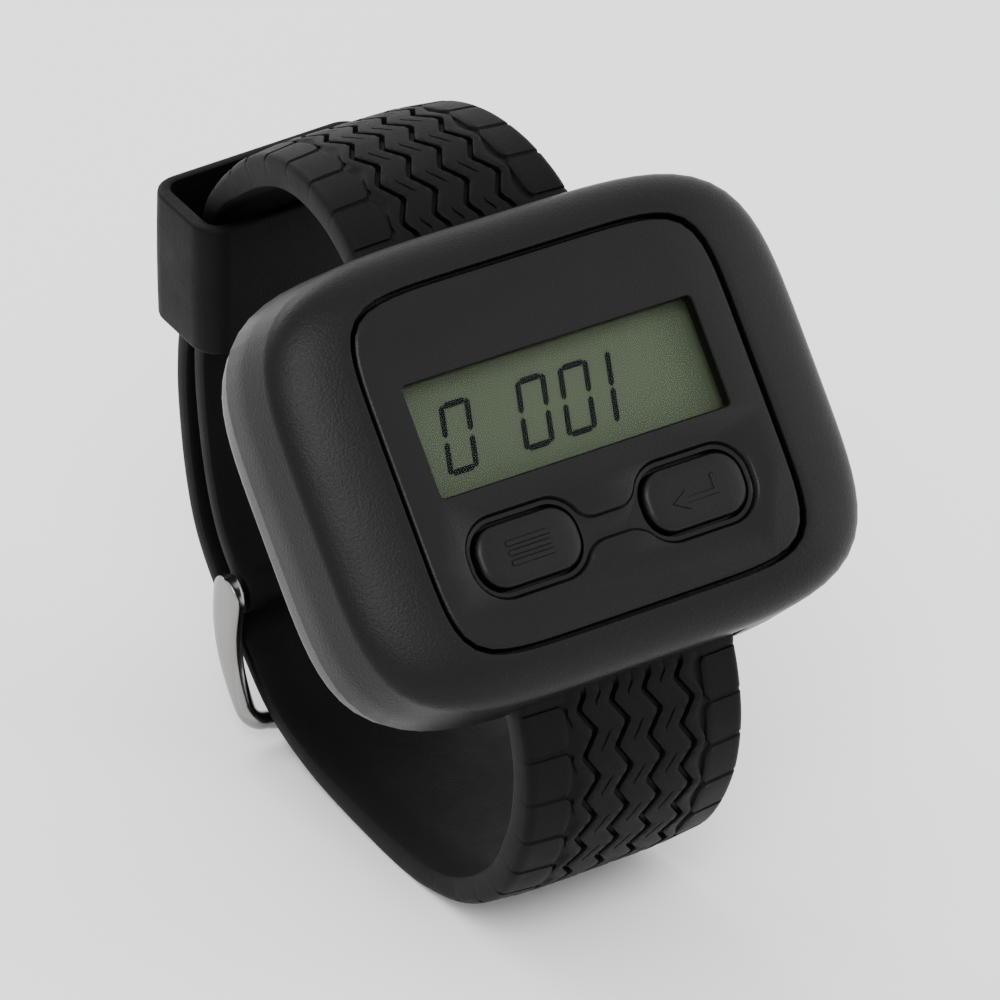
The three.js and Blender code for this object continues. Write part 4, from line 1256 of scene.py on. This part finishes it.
def spring_bar(name, node):
    low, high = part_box(node)
    reach = (high.x - low.x) / 2 / MM
    ends = [(0.32, reach), (0.45, reach - 0.15), (0.45, reach - 0.95), (0.68, reach - 1), (0.75, reach - 1.1)]
    bar = disc(name, [(r, -z) for r, z in ends] + [(r, z) for r, z in reversed(ends)], sides=5)
    bar.data.transform(pin_place(node))
    return bar


class PAGER_OT_buckle(Operator):
    """Model the buckle's frame and tongue and the three spring bars"""

    bl_idname = "pager.buckle"
    bl_label = "Buckle and Spring Bars"

    def execute(self, context):
        steel = finish_named("buckle_steel")
        settle(buckle_frame(), "buckle_frame", steel, smooth=50, replaces=["buckle_frame"])
        tongue = buckle_tongue()
        settle(tongue, "buckle_tongue", steel, smooth=40, replaces=["buckle_tongue"])
        for node in ("upper_spring_bar", "lower_spring_bar", "buckle_spring_bar"):
            bar = spring_bar(f"{node}_finished", node)
            settle(bar, "pager", finish_named("plain_steel"), replaces=[node])
        return {"FINISHED"}


# ---- Finishes of the CAD nodes ------------------------------------------------------------------

NODE_FINISHES = {
    "display_lens": "clear_window",
    "lcd_glass": "display_ground",
    "lcd_frame": "pale_moulding",
    "upper_zebra_strip": "contact_elastomer",
    "lower_zebra_strip": "contact_elastomer",
    "function_switch_body": "chip_resin",
    "enter_switch_body": "chip_resin",
    "function_switch_plunger": "pale_moulding",
    "enter_switch_plunger": "pale_moulding",
    "circuit_board": "board_green",
    "controller_chip": "chip_resin",
    "receiver_chip": "chip_resin",
    "crystal_can": "plain_steel",
    "ferrite_rod": "ferrite",
    "antenna_winding": "copper_wire",
    "battery_cell": "plain_steel",
    "battery_contact": "brass",
    "sounder_can": "chip_resin",
    "motor_can": "plain_steel",
    "motor_weight": "brass",
}


class PAGER_OT_finishes(Operator):
    """Make every material and give the carried-over CAD nodes theirs"""

    bl_idname = "pager.finishes"
    bl_label = "Finishes"

    def execute(self, context):
        made = finishes()
        for node, piece in frame["nodes"].items():
            piece.data.materials.clear()
            piece.data.materials.append(made[NODE_FINISHES.get(node, "case_plastic")])
        return {"FINISHED"}


# ---- Stage --------------------------------------------------------------------------------------

LOOK_AT = Vector((-6.83, -19.3, 41.96)) * MM
FLOOR_HALF = 4.0
SKY_COLOUR = (0.97, 0.98, 1.0, 1)
SKY_STRENGTH = 1.7
LAMPS = [  # name, place, what it is aimed at, size, power in watts
    ("key_lamp", (-0.35, -0.55, 0.75), (0, 0, 0.03), (0.45, 0.45), 6.5),
    ("fill_lamp", (0.75, -0.5, 0.35), (0, 0, 0.03), (0.5, 0.6), 1.5),
    ("rim_lamp", (-0.1, 0.7, 0.6), (0, 0, 0.04), (0.7, 0.3), 4.5),
]


def aim(thing, target):
    thing.rotation_mode = "QUATERNION"
    thing.rotation_quaternion = (Vector(target) - thing.location).to_track_quat("-Z", "Y")


def pale_floor(base):
    finish = Finish("floor_paper", specular_ior_level=0.2)
    cloud = finish.noise(60.0, 2.0)
    finish.set("Base Color", finish.mix(cloud, shade(base, 0.99), base))
    finish.set("Roughness", 0.85 + (cloud - 0.5) * 0.05)
    return finish.material


class PAGER_OT_stage(Operator):
    """Set up the floor, the soft lamps and the camera"""

    bl_idname = "pager.stage"
    bl_label = "Stage"

    def execute(self, context):
        settings = context.scene.pager_stage
        bpy.ops.object.select_all(action="DESELECT")
        bpy.ops.mesh.primitive_plane_add(size=2 * FLOOR_HALF)
        floor = context.object
        floor.name = "floor"
        floor.data.materials.append(pale_floor(settings.floor))
        for name, place, target, size, power in LAMPS:
            bpy.ops.object.light_add(type="AREA", location=place)
            lamp = context.object
            lamp.name = name
            lamp.data.shape = "RECTANGLE"
            lamp.data.size, lamp.data.size_y = size
            lamp.data.energy = power
            aim(lamp, target)
        world = bpy.data.worlds.new("studio")
        context.scene.world = world
        world.use_nodes = True
        sky = next(n for n in world.node_tree.nodes if n.type == "BACKGROUND")
        sky.inputs["Color"].default_value = SKY_COLOUR
        sky.inputs["Strength"].default_value = SKY_STRENGTH
        level = Vector((math.sin(settings.azimuth), -math.cos(settings.azimuth), 0))
        back = level * math.cos(settings.elevation)
        back.z = math.sin(settings.elevation)
        bpy.ops.object.camera_add(location=LOOK_AT + back * settings.distance)
        camera = context.object
        camera.name = "camera"
        camera.data.lens = settings.lens
        camera.data.sensor_width = 36
        camera.data.clip_start = 0.01
        aim(camera, LOOK_AT)
        context.scene.camera = camera
        return {"FINISHED"}


# ---- Add-on -------------------------------------------------------------------------------------

OPERATORS = (
    PAGER_OT_finishes,
    PAGER_OT_case,
    PAGER_OT_back,
    PAGER_OT_panel,
    PAGER_OT_buttons,
    PAGER_OT_display,
    PAGER_OT_strap,
    PAGER_OT_keeper,
    PAGER_OT_buckle,
    PAGER_OT_stage,
)


class PAGER_PT_pieces(Panel):
    """Lists the steps that build the pager, with its sizes and colours"""

    bl_label = "Wrist Pager"
    bl_idname = "PAGER_PT_pieces"
    bl_space_type = "VIEW_3D"
    bl_region_type = "UI"
    bl_category = "Pager"

    def draw(self, context):
        for operator in OPERATORS:
            self.layout.operator(operator.bl_idname)
        for group in (context.scene.pager_sizes, context.scene.pager_colours, context.scene.pager_stage):
            box = self.layout.box()
            for name in group.__annotations__:
                box.prop(group, name)


CLASSES = (PagerSizes, PagerColours, PagerStage, *OPERATORS, PAGER_PT_pieces)


def register():
    for cls in CLASSES:
        bpy.utils.register_class(cls)
    bpy.types.Scene.pager_sizes = PointerProperty(type=PagerSizes)
    bpy.types.Scene.pager_colours = PointerProperty(type=PagerColours)
    bpy.types.Scene.pager_stage = PointerProperty(type=PagerStage)


def unregister():
    for name in ("pager_stage", "pager_colours", "pager_sizes"):
        delattr(bpy.types.Scene, name)
    for cls in reversed(CLASSES):
        bpy.utils.unregister_class(cls)


def main():
    register()
    for operator in OPERATORS:
        space, name = operator.bl_idname.split(".")
        getattr(getattr(bpy.ops, space), name)()


if __name__ == "__main__":
    main()
